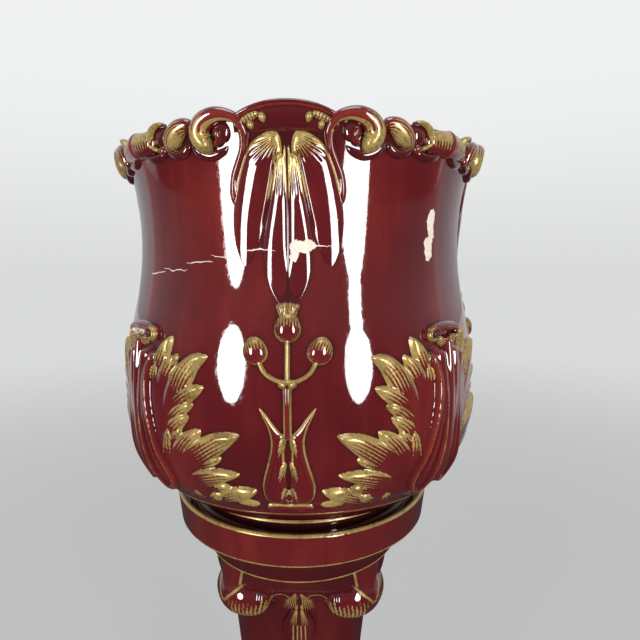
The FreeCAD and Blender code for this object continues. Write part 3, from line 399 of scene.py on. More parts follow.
def thistle_form():
    """A thistle with two side buds on curved stems, over a pair of tulip leaves."""
    relief = Relief(-40, 40, 28, 220, 0.62)
    across, level = relief.across, relief.level
    side = np.abs(across)
    leaf = [(3.2, 108), (6, 111), (11, 117), (16, 124.5), (22.5, 131.5), (20, 124), (16, 115),
            (13.6, 105), (14, 95), (17, 82), (20.5, 70), (22.6, 60), (22.4, 50), (19, 42.5),
            (10, 40), (1, 41), (1, 60), (2.6, 80), (3, 96)]
    edge = inside_distance(leaf, side, level)
    body = cushion(edge, 3.2, 2.4)
    line = step(2.0, 1.2, edge) * step(-0.7, 0.0, edge)
    vein = step(1.0, 0.2, np.abs(edge - 5.5)) * step(50, 70, level)
    relief.raise_to(body - 0.5 * vein, line * step(-1, 3, side - 2))
    bar = inside_distance([(0, 39), (12, 39.2), (20, 38.6), (21.4, 36), (20, 33.4), (0, 33)],
                          side, level)
    relief.raise_to(cushion(bar, 2.6, 1.4), step(1.6, 0.9, bar) * step(-0.6, 0.1, bar))
    for foot in (58, 81, 104):
        scale = [(1.2, foot + 1), (3.6, foot + 4.5), (7.6, foot + 1), (9.8, foot - 7), (9.8, foot - 15),
                 (7.4, foot - 19), (4.6, foot - 14), (2.6, foot - 8)]
        edge = inside_distance(scale, side, level)
        comb = waves(TURN * (side + 0.42 * (level - foot)) / 1.75)
        gather = step(foot - 17, foot - 2, level)
        brink = step(1.6, 0.8, edge) * step(foot - 12, foot - 4, level)
        relief.raise_to(cushion(edge, 4.4, 2.6) - 0.35 * (1 - comb) * (edge > 0.5) * (1 - gather),
                        step(-0.5, 0.1, edge) * np.maximum(brink, step(-0.12, 0.12, comb - 1.0
                                                                       + gather * 1.10)))
    form, share, _, _ = ball(relief, 0, 50, 4.6, 6.5, 3.0)
    relief.raise_to(np.where(share < 0.62, form - 1.2, form), step(0.55, 0.7, share))
    form, away = ridge([(0, 152), (0, 130), (0, 108)], across, level, 3.3, 4.0)
    relief.raise_to(form, step(1.6, 2.3, away))
    form = ball(relief, 0, 151, 7.6, 4.2, 4.6)[0]
    relief.raise_to(form - 1.6 * step(1.6, 0.8, np.abs(across)) * (level < 151), 0.85)
    for stem, place in (([(0, 150), (0, 170), (0, 189)], across),
                        ([(0, 152), (9, 154), (18, 160), (23.5, 170)], side)):
        relief.raise_to(ridge(stem, place, level, 1.7, 3.0)[0], 1.0)
    for middle, height, tilt in ((0, 197, 0), (26, 178, -22), (-26, 178, 22)):
        half = 10.5 if middle == 0 else 9.8
        half = half * (1 - 0.16 * np.clip((level - height) / (half * 1.2), -0.6, 1))
        form, share, right, up = ball(relief, middle, height, half, 12.4 if middle == 0 else 11.4,
                                      7.0, tilt)
        comb = waves(TURN * right / 2.3)
        gather = step(-2.5, 10.5, up + 0.12 * np.abs(right))
        gold = np.maximum(step(0.88, 0.95, share),
                          step(-0.1, 0.14, comb - 1.04 + gather * 1.08) * (gather > 0.02))
        ring = 0.7 * step(0.10, 0.03, np.abs(share - 0.87))
        relief.raise_to(form - ring * (share < 1), gold)
    crown = inside_distance([(0, 216), (5, 216.2), (10, 215), (8.4, 209), (5.4, 204), (0, 203)],
                            side, level)
    comb = waves(TURN * across / 2.4)
    relief.raise_to(cushion(crown, 6.4, 1.6) - 0.7 * comb * (crown > 0),
                    step(-0.4, 0.2, crown) * (0.35 + 0.65 * comb))
    return relief


# ---------------------------------------------------------------- acanthus

FINGERS = (   # spine away from the ridge and up, half width, height, where the gilding starts
    ([(98, 37), (108, 38), (117, 38)], 4.8, 3.6, 0.0),
    ([(50, 35), (53, 41), (57, 47)], 6.5, 3.8, 0.3),
    ([(64, 36), (73, 41), (82, 45)], 7.0, 4.2, 0.35),
    ([(78, 39), (95, 47), (106, 51), (117, 55)], 8.8, 4.8, 0.25),
    ([(73, 50), (83, 54), (92, 56.5)], 5.0, 4.0, 0.5),
    ([(36, 44), (60, 58), (82, 66), (104, 70.5)], 9.5, 5.0, 0.62),
    ([(61, 72), (76, 79), (89, 84.5)], 5.8, 4.4, 0.5),
    ([(31, 60), (36, 86), (39, 106)], 8.5, 5.0, 0.62),
    ([(34, 64), (52, 88), (62, 99), (71, 108)], 10.5, 5.2, 0.62),
    ([(36, 58), (60, 79), (79, 93), (92, 101), (106, 107)], 12.0, 5.8, 0.60),
    ([(36, 89), (44, 98), (52, 105.5)], 5.0, 4.4, 0.45),
    ([(32, 94), (43, 107), (51, 113.5), (60, 118.5)], 7.5, 4.8, 0.52),
    ([(34, 106), (46, 118), (55, 125), (65, 129.5)], 7.0, 5.0, 0.52),
    ([(34, 115), (49, 130), (61, 138.5), (75, 145.5)], 8.5, 5.2, 0.55),
    ([(26, 132), (36, 154), (48, 171)], 8.0, 5.2, 0.62),
    ([(34, 112), (48, 140), (57, 156), (66, 166), (78, 171.5)], 11.5, 5.8, 0.55),
    ([(20, 136), (23, 151), (26, 164)], 6.0, 5.0, 0.45),
    ([(20, 148), (28, 164), (34, 176), (40, 185.5)], 8.5, 5.4, 0.45),
)


def acanthus_form():
    """The spreading corner leaf: fingers with hooked, gilded tips round a ribbed stalk."""
    relief = Relief(-124, 124, 28, 190, 0.98)
    side, level = np.abs(relief.across), relief.level
    body = [(4, 40), (30, 33), (60, 35), (84, 40), (60, 60), (58, 80), (52, 96), (48, 112),
            (46, 132), (40, 150), (30, 162), (14, 172), (4, 172)]
    relief.raise_to(cushion(inside_distance(body, side, level), 3.2, 5.0), 0.0)
    for spine, half_width, height, gilded in FINGERS:
        away, share, sideways = along_line(spine, side, level)
        width = half_width * np.clip(1 - share ** 4, 0, 1) ** 0.8 * (0.72 + 0.28 * step(0, 0.5, share))
        edge = width - away
        tall = height * (0.5 + 0.5 * step(0.0, 0.8, share))
        lift = 1 + 0.22 * np.clip(sideways / np.maximum(width, 1), -1, 1)
        form = np.where(edge > 0, tall * lift * (1 - np.exp(-np.maximum(edge, 0) / 1.7)),
                        np.maximum(edge * 1.3, -SINK))
        comb = waves(TURN * (sideways - 0.8 * share) / 2.9)
        form = form - np.where(edge > 1.0, 0.5 * (1 - comb) * step(0.2, 0.45, share)
                               * step(1.0, 0.8, share), 0)
        grow = step(gilded - 0.26, gilded + 0.36, share)
        lines = step(-0.10, 0.14, comb - 1.06 + grow * 1.10)
        upper = step(3.6, 2.2, width - sideways) * step(gilded - 0.4, gilded - 0.1, share)
        brink = step(1.5, 0.8, edge) * step(gilded - 0.35, gilded - 0.1, share)
        gold = np.maximum(np.maximum(lines * (grow > 0.02), upper), brink)
        relief.raise_to(form, gold * step(-0.6, 0.0, edge))
    u_line = [(20, 166), (14, 142), (16, 112), (23, 82), (31, 62), (30, 50), (23, 42.5), (13, 43),
              (7, 54), (5, 80), (5, 110), (7, 140), (9, 170)]
    channel = inside_distance([(9, 172), (6, 110), (6, 60), (12, 44), (24, 43), (31, 56), (24, 82),
                               (16, 112), (15, 142), (20, 170)], side, level)
    relief.raise_to(cushion(channel, 5.6, 3.0), 0.0)
    away = along_line([(0, 178), (0, 120), (0, 50)], side, level)[0]
    relief.raise_to(domed(away, 5.5, 8.6), 0.12 * step(3, 0.5, away))
    away = along_line(u_line, side, level)[0]
    relief.raise_to(domed(away, 2.6, 3.2, 5.0), 0.5 * step(1.2, 0.4, away))
    away = along_line([(13, 168), (10, 130), (13, 90), (19, 64)], side, level)[0]
    relief.raise_to(domed(away, 3.0, 3.4, 4.2), 0.0)
    inner = step(40, 30, side)
    relief.height = inner * blurred(relief.height, 6) + (1 - inner) * blurred(relief.height, 2)
    return relief


# ---------------------------------------------------------------- swept forms

def ring_quads(count, around):
    """Point numbers of rings of points, and the faces between neighbouring rings."""
    index = np.arange(count * around).reshape(count, around)
    after = np.roll(index, -1, 1)
    return index, np.stack([index[:-1], index[1:], after[1:], after[:-1]], -1).reshape(-1, 4)


def plain(**masks):
    """The same masks all over a swept form."""
    return lambda share, angle: masks


def shaded_back(pool, deeper):
    """Painted shade with pooled glaze: darker on the side towards the wall."""
    return lambda share, angle: {"pool": pool + deeper * (np.cos(angle) < 0)}


def swept(centres, widths, depths, outward, around=40, flute=None, masks=None):
    """A closed, round-ended solid swept along centres; outward points away from the wall.

    flute(share, angle) gives extra height and masks(share, angle) the named masks, where the
    angle runs from 0 at the outward side.
    """
    centres = np.asarray(centres, float)
    count = len(centres)
    share = np.linspace(0, 1, count)
    ahead = np.gradient(centres, axis=0)
    ahead /= np.linalg.norm(ahead, axis=1)[:, None]
    out = np.asarray(outward, float) * np.ones((count, 3))
    out = out - ahead * (out * ahead).sum(1)[:, None]
    out /= np.linalg.norm(out, axis=1)[:, None]
    across = np.cross(ahead, out)
    angle = np.linspace(0, TURN, around, endpoint=False)
    shares, angles = np.meshgrid(share, angle, indexing="ij")
    extra = flute(shares, angles) if flute else 0.0
    widths = np.asarray(widths, float)[:, None] + extra
    depths = np.asarray(depths, float)[:, None] + extra
    points = (centres[:, None] + out[:, None] * (depths * np.cos(angles))[..., None]
              + across[:, None] * (widths * np.sin(angles))[..., None]).reshape(-1, 3)
    points = np.vstack([points, centres[0], centres[-1]])
    index, sides = ring_quads(count, around)
    quads = [sides]
    first, last = count * around, count * around + 1
    half = np.arange(0, around, 2)
    for ring, pole, flip in ((index[0], first, False), (index[-1], last, True)):
        cap = np.stack([np.full(len(half), pole), ring[half], ring[(half + 1) % around],
                        ring[(half + 2) % around]], -1)
        quads.append(cap[:, ::-1] if flip else cap)
    named = masks(shares, angles) if masks else {}
    full = {}
    for name in ("gold", "thin", "pool"):
        values = np.broadcast_to(named.get(name, 0.0), shares.shape)
        full[name] = np.concatenate([values.ravel(), [values[0].mean(), values[-1].mean()]])
    return points * MM, np.concatenate(quads), full


def round_ends(share, values, nose=0.08):
    """Sizes that close to nothing in a round nose at both ends of a path."""
    at_start = np.sqrt(np.clip(1 - (1 - np.clip(share / nose, 0, 1)) ** 2, 0, 1))
    at_end = np.sqrt(np.clip(1 - (1 - np.clip((1 - share) / nose, 0, 1)) ** 2, 0, 1))
    return values * np.maximum(at_start * at_end, 0.02)


def spaced(points, count):
    """Evenly spaced points along a smooth line through a few points."""
    curve = curve_through(points, per=16)
    length = np.concatenate([[0], np.cumsum(np.linalg.norm(np.diff(curve, axis=0), axis=1))])
    at = np.linspace(0, length[-1], count)
    return np.stack([np.interp(at, length, curve[:, axis]) for axis in range(curve.shape[1])], -1)


def rim_tube(rows, count=72, around=40, flute=None, masks=None, nose=0.07):
    """A swept form on the rim from rows of (round the rim, level, overhang, width, depth)."""
    rows = spaced(rows, count)
    azimuth = rows[:, 0] / ROUND
    centres = on_wall(azimuth, rows[:, 1], rows[:, 2]) / MM
    middle = azimuth.mean()
    share = np.linspace(0, 1, count)
    return swept(centres, round_ends(share, rows[:, 3], nose), round_ends(share, rows[:, 4], nose),
                 (math.sin(middle), -math.cos(middle), 0), around, flute, masks)


def scroll_form():
    """The large scroll: a stem that swells over the top and curls down to a gilded tip."""
    rows = [(34.5, 334, 0.6, 1.4, 2.0), (32.0, 343, 0.8, 2.0, 2.8), (32.5, 351, 1.0, 3.0, 3.8),
            (38, 359.5, 1.2, 4.0, 4.8), (47, 363, 1.4, 5.2, 6.6), (57, 362.6, 1.5, 6.8, 8.2),
            (66, 358, 1.5, 8.2, 9.6), (69.5, 350, 1.6, 8.8, 10.4), (65.5, 343, 1.6, 8.0, 9.8),
            (59.5, 341.5, 1.4, 6.2, 8.2)]

    def finish(share, angle):
        comb = waves(17 * angle + 1.5 * share)
        outer = step(-0.75, 0.55, -np.sin(angle))
        grow = step(0.50, 0.94, share)
        gold = step(-0.1, 0.12, comb - 1.06 + (grow * 1.22) * (0.30 + 0.70 * outer)) * (grow > 0.02)
        gold = np.maximum(gold, step(0.74, 0.82, share))
        line = step(0.20, 0.08, np.abs(np.sin(angle) - 0.80)) * step(0.02, 0.10, share) \
            * step(0.80, 0.72, share)
        front = step(-0.35, 0.0, np.cos(angle))
        # Painted shade: the side towards the wall is darker.
        return {"gold": np.maximum(gold, line * 0.75) * front,
                "thin": 0.35 * step(0.55, 0.2, np.abs(np.sin(angle) - 0.2)) * front,
                "pool": 0.8 * step(0.2, -0.6, np.cos(angle))}

    horn = rim_tube(rows, 110, 64, None, finish, 0.05)
    eye_rows = [(44, 353, -1.4, 8.5, 4.2), (52, 352, -0.6, 9.5, 5.2), (60, 350, -0.6, 7.5, 5.2)]
    # Painted shade: the eye is darkened as a recess.
    eye = rim_tube(eye_rows, 24, 32, None, plain(pool=0.45), 0.4)
    curl_rows = [(57.5, 353, 1.5, 2.2, 4.4), (53.5, 350.5, 2.2, 2.8, 5.2), (53.5, 345, 2.0, 3.0, 4.8),
                 (58, 340.5, 1.4, 2.6, 4.0)]
    # Painted shade on the curl's back, towards the wall.
    curl = rim_tube(curl_rows, 30, 24, None, lambda s, a: {
        "pool": 0.5 * (np.cos(a) < 0.3), "thin": 0.25 * step(0.5, 0.1, np.abs(np.sin(a)))}, 0.3)
    lobe_rows = [(47, 341, -0.8, 2.0, 2.4), (53, 336.5, 0.0, 3.2, 3.8), (63, 334, 0.2, 4.0, 5.0),
                 (73, 337.5, 0.2, 4.2, 5.4), (79, 346, 0.2, 3.4, 5.0)]
    lobe = rim_tube(lobe_rows, 48, 28, None, shaded_back(0.45, 0.4), 0.2)
    return joined([horn, eye, curl, lobe])


def curl_form():
    """The small curl: a plump leaf that leans over its dark lower lobe."""
    rows = [(76.0, 356, 0.2, 3.6, 4.4), (82, 358, 0.4, 6.2, 6.2), (90, 356, 0.6, 8.4, 8.0),
            (97, 350.5, 0.7, 8.8, 8.6), (100, 344.5, 0.6, 6.8, 7.0), (98.5, 341.2, 0.5, 4.2, 4.8)]

    def finish(share, angle):
        comb = waves(17 * angle)
        low = step(-0.55, 0.75, np.sin(angle))
        grow = step(0.04, 0.50, share)
        gold = step(-0.1, 0.12, comb - 1.08 + (0.12 + 0.95 * grow) * (0.25 + 0.90 * low))
        # Painted shade: the side towards the wall is darker.
        return {"gold": gold * step(0.05, 0.16, share) * step(-0.4, 0.0, np.cos(angle)),
                "thin": 0.3 * (np.sin(angle) < -0.4), "pool": step(0.1, -0.6, np.cos(angle)) * 0.8}

    drop = rim_tube(rows, 64, 48, None, finish, 0.12)
    lobe_rows = [(81, 346, -0.6, 2.6, 3.2), (87, 339.5, 0.0, 3.8, 4.6), (95, 337.5, 0.0, 4.2, 5.2),
                 (103, 341, 0.0, 3.6, 4.6), (107, 347, 0.0, 2.8, 3.8)]
    lobe = rim_tube(lobe_rows, 36, 24, None, shaded_back(0.45, 0.4), 0.2)
    return joined([drop, lobe])


def corner_form():
    """The corner roll: a ringed barrel over the ridge between two C-shaped curls and beads."""

    def barrel_rows():
        places = np.linspace(-27, 27, 21)
        share = np.abs(places) / 27
        return [(RIDGE + p, 350.5 - 2 * s * s, -0.6, 11.0 - 2.8 * s ** 2, 9.6 - 2.2 * s ** 2)
                for p, s in zip(places, share)]

    def rings(share, angle):
        return 0.9 * step(0.028, 0.0, np.abs(share - 0.5))

    def ringed(share, angle):
        comb = waves(TURN * share * 17)
        low = step(-0.75, 0.35, -np.sin(angle))
        spread = step(0.50, 0.20, np.abs(share - 0.5))
        gold = step(-0.1, 0.12, comb - 1.02 + low * (0.55 + 0.6 * spread)) \
            * step(0.035, 0.055, np.abs(share - 0.5)) * step(-0.3, 0.1, np.cos(angle))
        # Painted shade: the barrel's side towards the wall is darker.
        return {"gold": gold, "thin": 0.45 * step(0.035, 0.015, np.abs(share - 0.5)),
                "pool": step(0.1, -0.6, np.cos(angle)) * 0.8}

    parts = [rim_tube(barrel_rows(), 90, 40, rings, ringed, 0.10)]
    for sign in (1, -1):
        def mirrored_rows(rows):
            return [(RIDGE - sign * (RIDGE - row[0]),) + row[1:] for row in rows]
        curl = mirrored_rows([(102, 361, 0.2, 1.3, 2.6), (110, 362.5, 0.8, 1.8, 3.6),
                              (118, 359.5, 1.0, 2.2, 4.6), (122.5, 352.5, 1.2, 2.2, 5.4),
                              (120, 345.5, 1.2, 2.0, 5.0), (113, 342.5, 1.0, 1.8, 4.6)])
        parts.append(rim_tube(curl, 50, 24, None, lambda s, a: {
            "gold": 0.95 * step(-0.4, 0.3, np.cos(a)) * step(0.05, 0.15, s)}, 0.1))
        bead = mirrored_rows([(105.5, 343.5, 0.8, 4.0, 4.8), (109, 342.5, 1.2, 4.6, 5.4),
                              (113.5, 342, 0.8, 3.8, 4.8)])
        parts.append(rim_tube(bead, 18, 24, None, lambda s, a: {
            "pool": 0.2, "thin": 0.3 * step(0.4, 0.9, np.cos(a))}, 0.5))
        # Painted shade: the sunken panel behind each curl is darkened.
        panel = mirrored_rows([(103, 353, -2.6, 7.5, 4.2), (111, 353, -2.2, 8.5, 4.8),
                               (120, 352, -2.2, 8, 4.8)])
        parts.append(rim_tube(panel, 18, 24, None, plain(pool=0.35), 0.4))
        lobe = mirrored_rows([(109, 340.5, -0.8, 3.0, 3.8), (119, 338.0, -0.6, 4.0, 4.8),
                              (130, 338.5, -0.6, 4.2, 5.0), (139, 342, -0.6, 3.4, 4.2)])
        parts.append(rim_tube(lobe, 36, 24, None, shaded_back(0.5, 0.3), 0.2))
    return joined(parts)


def crest_form():
    """The arched crest: a smooth panel under a rolled edge, with gilded leaf curls."""
    half = 41.0

    def top(across):
        return 369.6 - 9.6 * (np.abs(across) / half) ** 2.2

    columns = np.linspace(-half, half, 61)
    ring = []
    for level_share, offset in ((0.0, 0.8), (0.5, 0.8), (1.0, 0.8), (1.0, -WALL + 0.6),
                                (0.5, -WALL + 0.6), (0.0, -WALL + 0.6)):
        levels = 350 + (top(columns) - 350) * level_share
        ring.append(on_wall(columns / ROUND, levels, offset))
    points = np.stack(ring, 1)
    count, around = len(columns), len(ring)
    index, sides = ring_quads(count, around)
    quads = [sides]
    quads.append(np.array([[index[0, 0], index[0, 1], index[0, 4], index[0, 5]],
                           [index[0, 1], index[0, 2], index[0, 3], index[0, 4]],
                           [index[-1, 5], index[-1, 4], index[-1, 1], index[-1, 0]],
                           [index[-1, 4], index[-1, 3], index[-1, 2], index[-1, 1]]]))
    flat = {"gold": np.zeros(count * around), "thin": np.zeros(count * around),
            "pool": np.full(count * around, 0.15)}
    panel = (points.reshape(-1, 3), np.concatenate(quads)[:, ::-1], flat)
    arch = [(x, top(x) - 0.6, -2.2, 2.8, 5.6) for x in np.linspace(-half, half, 15)]
    # Painted shade on the roll's back, towards the wall.
    roll = rim_tube(arch, 90, 32, None, lambda s, a: {
        "thin": 0.45 * step(0.35, 0.1, np.abs(np.sin(a) - 0.75)), "pool": 0.3 * (np.cos(a) < -0.2)},
        0.03)
    parts = [panel, roll]
    for sign in (1, -1):
        leaf = [(sign * 39, 353.5, 0.6, 1.6, 2.6), (sign * 33, 357.5, 1.2, 2.8, 3.6),
                (sign * 26, 360.5, 1.4, 3.2, 4.0), (sign * 19, 362.8, 1.2, 2.4, 3.4)]
        parts.append(rim_tube(leaf, 44, 24,
                              lambda s, a: -0.5 * waves(TURN * s * 9),
                              lambda s, a: {"gold": 0.6 + 0.4 * np.cos(TURN * s * 9)}, 0.15))
        for place, level, size in ((17.5, 359.8, 4.0), (27.0, 354.6, 3.5), (34.5, 351.0, 2.6)):
            bead = [(sign * (place - 2.6), level + 0.6, 0.9, size * 0.86, size),
                    (sign * place, level, 1.1, size, size + 0.4),
                    (sign * (place + 2.6), level - 0.8, 0.9, size * 0.86, size)]
            parts.append(rim_tube(bead, 16, 20, None, plain(gold=1.0), 0.5))
    return joined(parts)


def knob_form():
    """The rolled head of the corner stalk: two curls with eyes darkened by painted shade, over a gilded
    drop.
    """
    parts = []
    top = [(RIDGE - p, 192.0 - 0.007 * p * p, 2.6, 4.4, 5.2) for p in np.linspace(-17, 17, 9)]
    # Painted shade: the roll's side towards the wall is darker.
    parts.append(rim_tube(top, 60, 32, None, lambda s, a: {
        "thin": 0.3 * step(0.3, 0.1, np.abs(np.sin(a) - 0.6)), "pool": 0.5 * (np.cos(a) < 0)}, 0.12))
    for sign in (1, -1):
        c = [(9, 188, 3.2, 1.8, 4.0), (15, 191, 3.6, 2.0, 4.6), (20.5, 189, 3.6, 2.0, 4.6),
             (21.5, 184, 3.2, 2.0, 4.4), (18, 181.2, 3.0, 1.8, 3.8), (14, 183, 2.8, 1.5, 3.6)]
        rows = [(RIDGE - sign * row[0],) + row[1:] for row in c]
        parts.append(rim_tube(rows, 44, 20, None, lambda s, a: {
            "gold": 0.9 * step(-0.3, 0.3, np.cos(a)) * step(0.25, 0.4, s), "thin": 0.3}, 0.1))
        # Painted shade: the eyes darkened as recesses.
        eye = [(RIDGE - sign * p, 186.0, 2.6, 3.4, 4.8) for p in (15.5, 17.2, 18.9)]
        parts.append(rim_tube(eye, 16, 20, None, plain(pool=0.5), 0.5))
        leaf = [(RIDGE - sign * 12, 184, 2.4, 2.8, 4.0), (RIDGE - sign * 8, 180, 2.6, 3.6, 4.4),
                (RIDGE - sign * 4, 176, 2.4, 3.0, 3.8)]
        parts.append(rim_tube(leaf, 26, 20, None, lambda s, a: {
            "gold": 0.6 + 0.4 * np.cos(TURN * s * 5)}, 0.3))
    return joined(parts)


# ---------------------------------------------------------------- node groups and materials

def new_group(name, inputs, outputs):
    """An empty shader group with named float, colour or vector sockets."""
    kinds = {"f": "NodeSocketFloat", "c": "NodeSocketColor", "v": "NodeSocketVector"}
    group = bpy.data.node_groups.new(name, "ShaderNodeTree")
    for label, kind, default in inputs:
        socket = group.interface.new_socket(label, in_out="INPUT", socket_type=kinds[kind])
        socket.default_value = default
    for label, kind in outputs:
        group.interface.new_socket(label, in_out="OUTPUT", socket_type=kinds[kind])
    return group, group.nodes.new("NodeGroupInput"), group.nodes.new("NodeGroupOutput")


class Wiring:
    """Short calls that add and join nodes in one tree."""

    def __init__(self, tree):
        self.tree = tree

    def put(self, socket, value):
        if isinstance(value, bpy.types.NodeSocket):
            self.tree.links.new(value, socket)
        else:
            socket.default_value = value

    def node(self, kind, inputs=None, **settings):
        node = self.tree.nodes.new(kind)
        for name, value in settings.items():
            setattr(node, name, value)
        for key, value in (inputs or {}).items():
            self.put(node.inputs[key], value)
        return node

    def math(self, operation, first, second=0.0, clamp=False):
        return self.node("ShaderNodeMath", {0: first, 1: second}, operation=operation,
                         use_clamp=clamp).outputs[0]

    def add(self, first, second):
        return self.math("ADD", first, second)

    def less(self, first, second):
        return self.math("SUBTRACT", first, second)

    def times(self, first, second):
        return self.math("MULTIPLY", first, second)

    def most(self, first, second):
        """The larger of two values, where the first may be missing."""
        return second if first is None else self.math("MAXIMUM", first, second)

    def near(self, value, middle):
        """How far a value is from a middle."""
        return self.math("ABSOLUTE", self.less(value, middle))

    def length(self, first, second):
        return self.math("SQRT", self.add(self.times(first, first), self.times(second, second)))

    def vector(self, operation, first, second=None, output=0, **inputs):
        given = {0: first} if second is None else {0: first, 1: second}
        node = self.node("ShaderNodeVectorMath", {**given, **inputs}, operation=operation)
        return node.outputs[output]

    def step(self, value, low, high, out_low=0.0, out_high=1.0):
        """A smooth step between two values, as the function step makes for arrays."""
        node = self.node("ShaderNodeMapRange", {"Value": value, "From Min": low, "From Max": high,
                                                "To Min": out_low, "To Max": out_high},
                         interpolation_type="SMOOTHSTEP")
        return node.outputs["Result"]

    def mix(self, share, first, second):
        node = self.node("ShaderNodeMix", {0: share, 6: first, 7: second}, data_type="RGBA")
        return node.outputs[2]

    def noise(self, vector, scale, detail=3.0, roughness=0.5):
        return self.node("ShaderNodeTexNoise", {"Vector": vector, "Scale": scale, "Detail": detail,
                                                "Roughness": roughness}).outputs[0]

    def mask(self, name):
        return self.node("ShaderNodeAttribute", attribute_name=name).outputs["Fac"]

    def split(self):
        """The object's own x, y and z."""
        at = self.node("ShaderNodeTexCoord").outputs["Object"]
        return self.node("ShaderNodeSeparateXYZ", {0: at}).outputs

    def place(self, scale=(1, 1, 1), move=(0, 0, 0)):
        at = self.node("ShaderNodeTexCoord").outputs["Object"]
        return self.node("ShaderNodeMapping", {"Vector": at, "Scale": scale,
                                               "Location": move}).outputs[0]


def make_glaze_group():
    """Glaze colour: streaks that ran down, dark pools with painted shade, thin warm breaks with painted
    light, and specks.
    """
    group, inlet, outlet = new_group("oxblood_depth", [
        ("Body", "c", (0.12, 0.012, 0.014, 1)), ("Deep And Shade", "c", (0.012, 0.003, 0.005, 1)),
        ("Thin Break And Light", "c", (0.45, 0.10, 0.05, 1)), ("Pool", "f", 0.0), ("Thin", "f", 0.0)],
        [("Color", "c"), ("Roughness", "f"), ("Height", "f")])
    w = Wiring(group)
    body, deep_and_shade, warm_and_lit, pool, thin = (inlet.outputs[i] for i in range(5))
    streaks = w.noise(w.place(scale=(1, 1, 0.10)), 34, 4, 0.55)
    clouds = w.noise(w.place(), 7, 3, 0.5)
    fine = w.noise(w.place(), 240, 2, 0.6)
    richer = w.mix(0.55, body, warm_and_lit)
    base = w.mix(w.step(w.add(w.times(streaks, 0.7),
                               w.times(clouds, 0.5)), 0.55, 0.85, 0.0, 0.5), body, richer)
    base = w.mix(w.step(clouds, 0.35, 0.6, 0.45, 0.0), base, w.mix(0.5, body, deep_and_shade))
    base = w.mix(w.math("MULTIPLY", pool, 0.92, clamp=True), base, deep_and_shade)
    base = w.mix(w.math("MULTIPLY", thin, w.step(fine, 0.3, 0.6, 0.6, 1.0), clamp=True), base, warm_and_lit)
    w.put(outlet.inputs[0], base)
    w.put(outlet.inputs[1], w.step(fine, 0.3, 0.8, 0.035, 0.075))
    waves = w.add(w.times(w.noise(w.place(), 10, 2), 2.4),
                   w.times(w.noise(w.place(), 48, 3), 0.42))
    w.put(outlet.inputs[2], w.add(waves, w.times(w.noise(w.place(), 330, 2), 0.040)))


def make_gilding_group():
    """Antique gilding: where its mask is strong, thin and worn at its edges."""
    group, inlet, outlet = new_group("worn_gilding", [
        ("Mask", "f", 0.0), ("Gold", "c", (0.42, 0.30, 0.11, 1)),
        ("Shaded Gold", "c", (0.12, 0.085, 0.035, 1))],
        [("Color", "c"), ("Cover", "f"), ("Roughness", "f")])
    w = Wiring(group)
    grain = w.noise(w.place(), 420, 3, 0.6)
    patches = w.noise(w.place(), 55, 3, 0.6)
    wear = w.add(inlet.outputs[0], w.times(w.less(patches, 0.5), 0.26))
    wear = w.add(wear, w.times(w.less(grain, 0.5), 0.22))
    bright = w.step(w.add(w.times(grain, 0.5), w.times(patches, 0.5)), 0.34, 0.56)
    w.put(outlet.inputs[0], w.mix(bright, inlet.outputs[2], inlet.outputs[1]))
    w.put(outlet.inputs[1], w.step(wear, 0.35, 0.6, 0.0, 0.94))
    w.put(outlet.inputs[2], w.step(patches, 0.3, 0.7, 0.24, 0.36))


def linear(rgb):
    """A colour picked as sRGB, as the linear values that a shader takes."""
    return tuple(c / 12.92 if c <= 0.04045 else ((c + 0.055) / 1.055) ** 2.4 for c in rgb) + (1,)


def glazed_material(name, colours, gold_mask, pool_and_shade_mask=None, thin_and_lit_mask=None, chips=None):
    """Glossy glaze over cream ware, with gilding where gold_mask(wiring) says."""
    material = bpy.data.materials.new(name)
    material.use_nodes = True
    tree = material.node_tree
    shader = tree.nodes["Principled BSDF"]
    w = Wiring(tree)
    glaze = w.node("ShaderNodeGroup", node_tree=bpy.data.node_groups["oxblood_depth"])
    w.put(glaze.inputs["Body"], linear(colours.glaze_body))
    w.put(glaze.inputs["Deep And Shade"], linear(colours.glaze_deep_and_shade))
    w.put(glaze.inputs["Thin Break And Light"], linear(colours.glaze_thin))
    if pool_and_shade_mask:
        w.put(glaze.inputs["Pool"], pool_and_shade_mask(w))
    if thin_and_lit_mask:
        w.put(glaze.inputs["Thin"], thin_and_lit_mask(w))
    gilding = w.node("ShaderNodeGroup", node_tree=bpy.data.node_groups["worn_gilding"])
    w.put(gilding.inputs["Mask"], gold_mask(w))
    w.put(gilding.inputs["Gold"], linear(colours.gold))
    w.put(gilding.inputs["Shaded Gold"], linear(colours.gold_shade))
    cover = gilding.outputs["Cover"]
    colour = w.mix(cover, glaze.outputs["Color"], gilding.outputs["Color"])
    rough = w.add(glaze.outputs["Roughness"], w.times(cover, 0.26))
    metal = w.times(cover, 0.45)
    coat = w.step(cover, 0.2, 0.9, 1.0, 0.25)
    if chips:
        chip = chips(w)
        ware = w.mix(w.noise(w.place(), 300, 3, 0.6), linear((0.80, 0.74, 0.66)),
                     linear((0.95, 0.92, 0.87)))
        colour = w.mix(chip, colour, ware)
        rough = w.math("ADD", rough, w.times(chip, 0.6), clamp=True)
        metal = w.times(metal, w.less(1.0, chip))
        coat = w.times(coat, w.less(1.0, chip))
    w.put(shader.inputs["Base Color"], colour)
    w.put(shader.inputs["Roughness"], rough)
    w.put(shader.inputs["Metallic"], metal)
    w.put(shader.inputs["Coat Weight"], coat)
    shader.inputs["Coat Roughness"].default_value = 0.03
    shader.inputs["Coat IOR"].default_value = 1.6
    shader.inputs["IOR"].default_value = 1.55
    bump = w.node("ShaderNodeBump", {"Height": glaze.outputs["Height"], "Distance": 0.0016,
                                     "Strength": 0.35})
    w.put(shader.inputs["Normal"], bump.outputs[0])


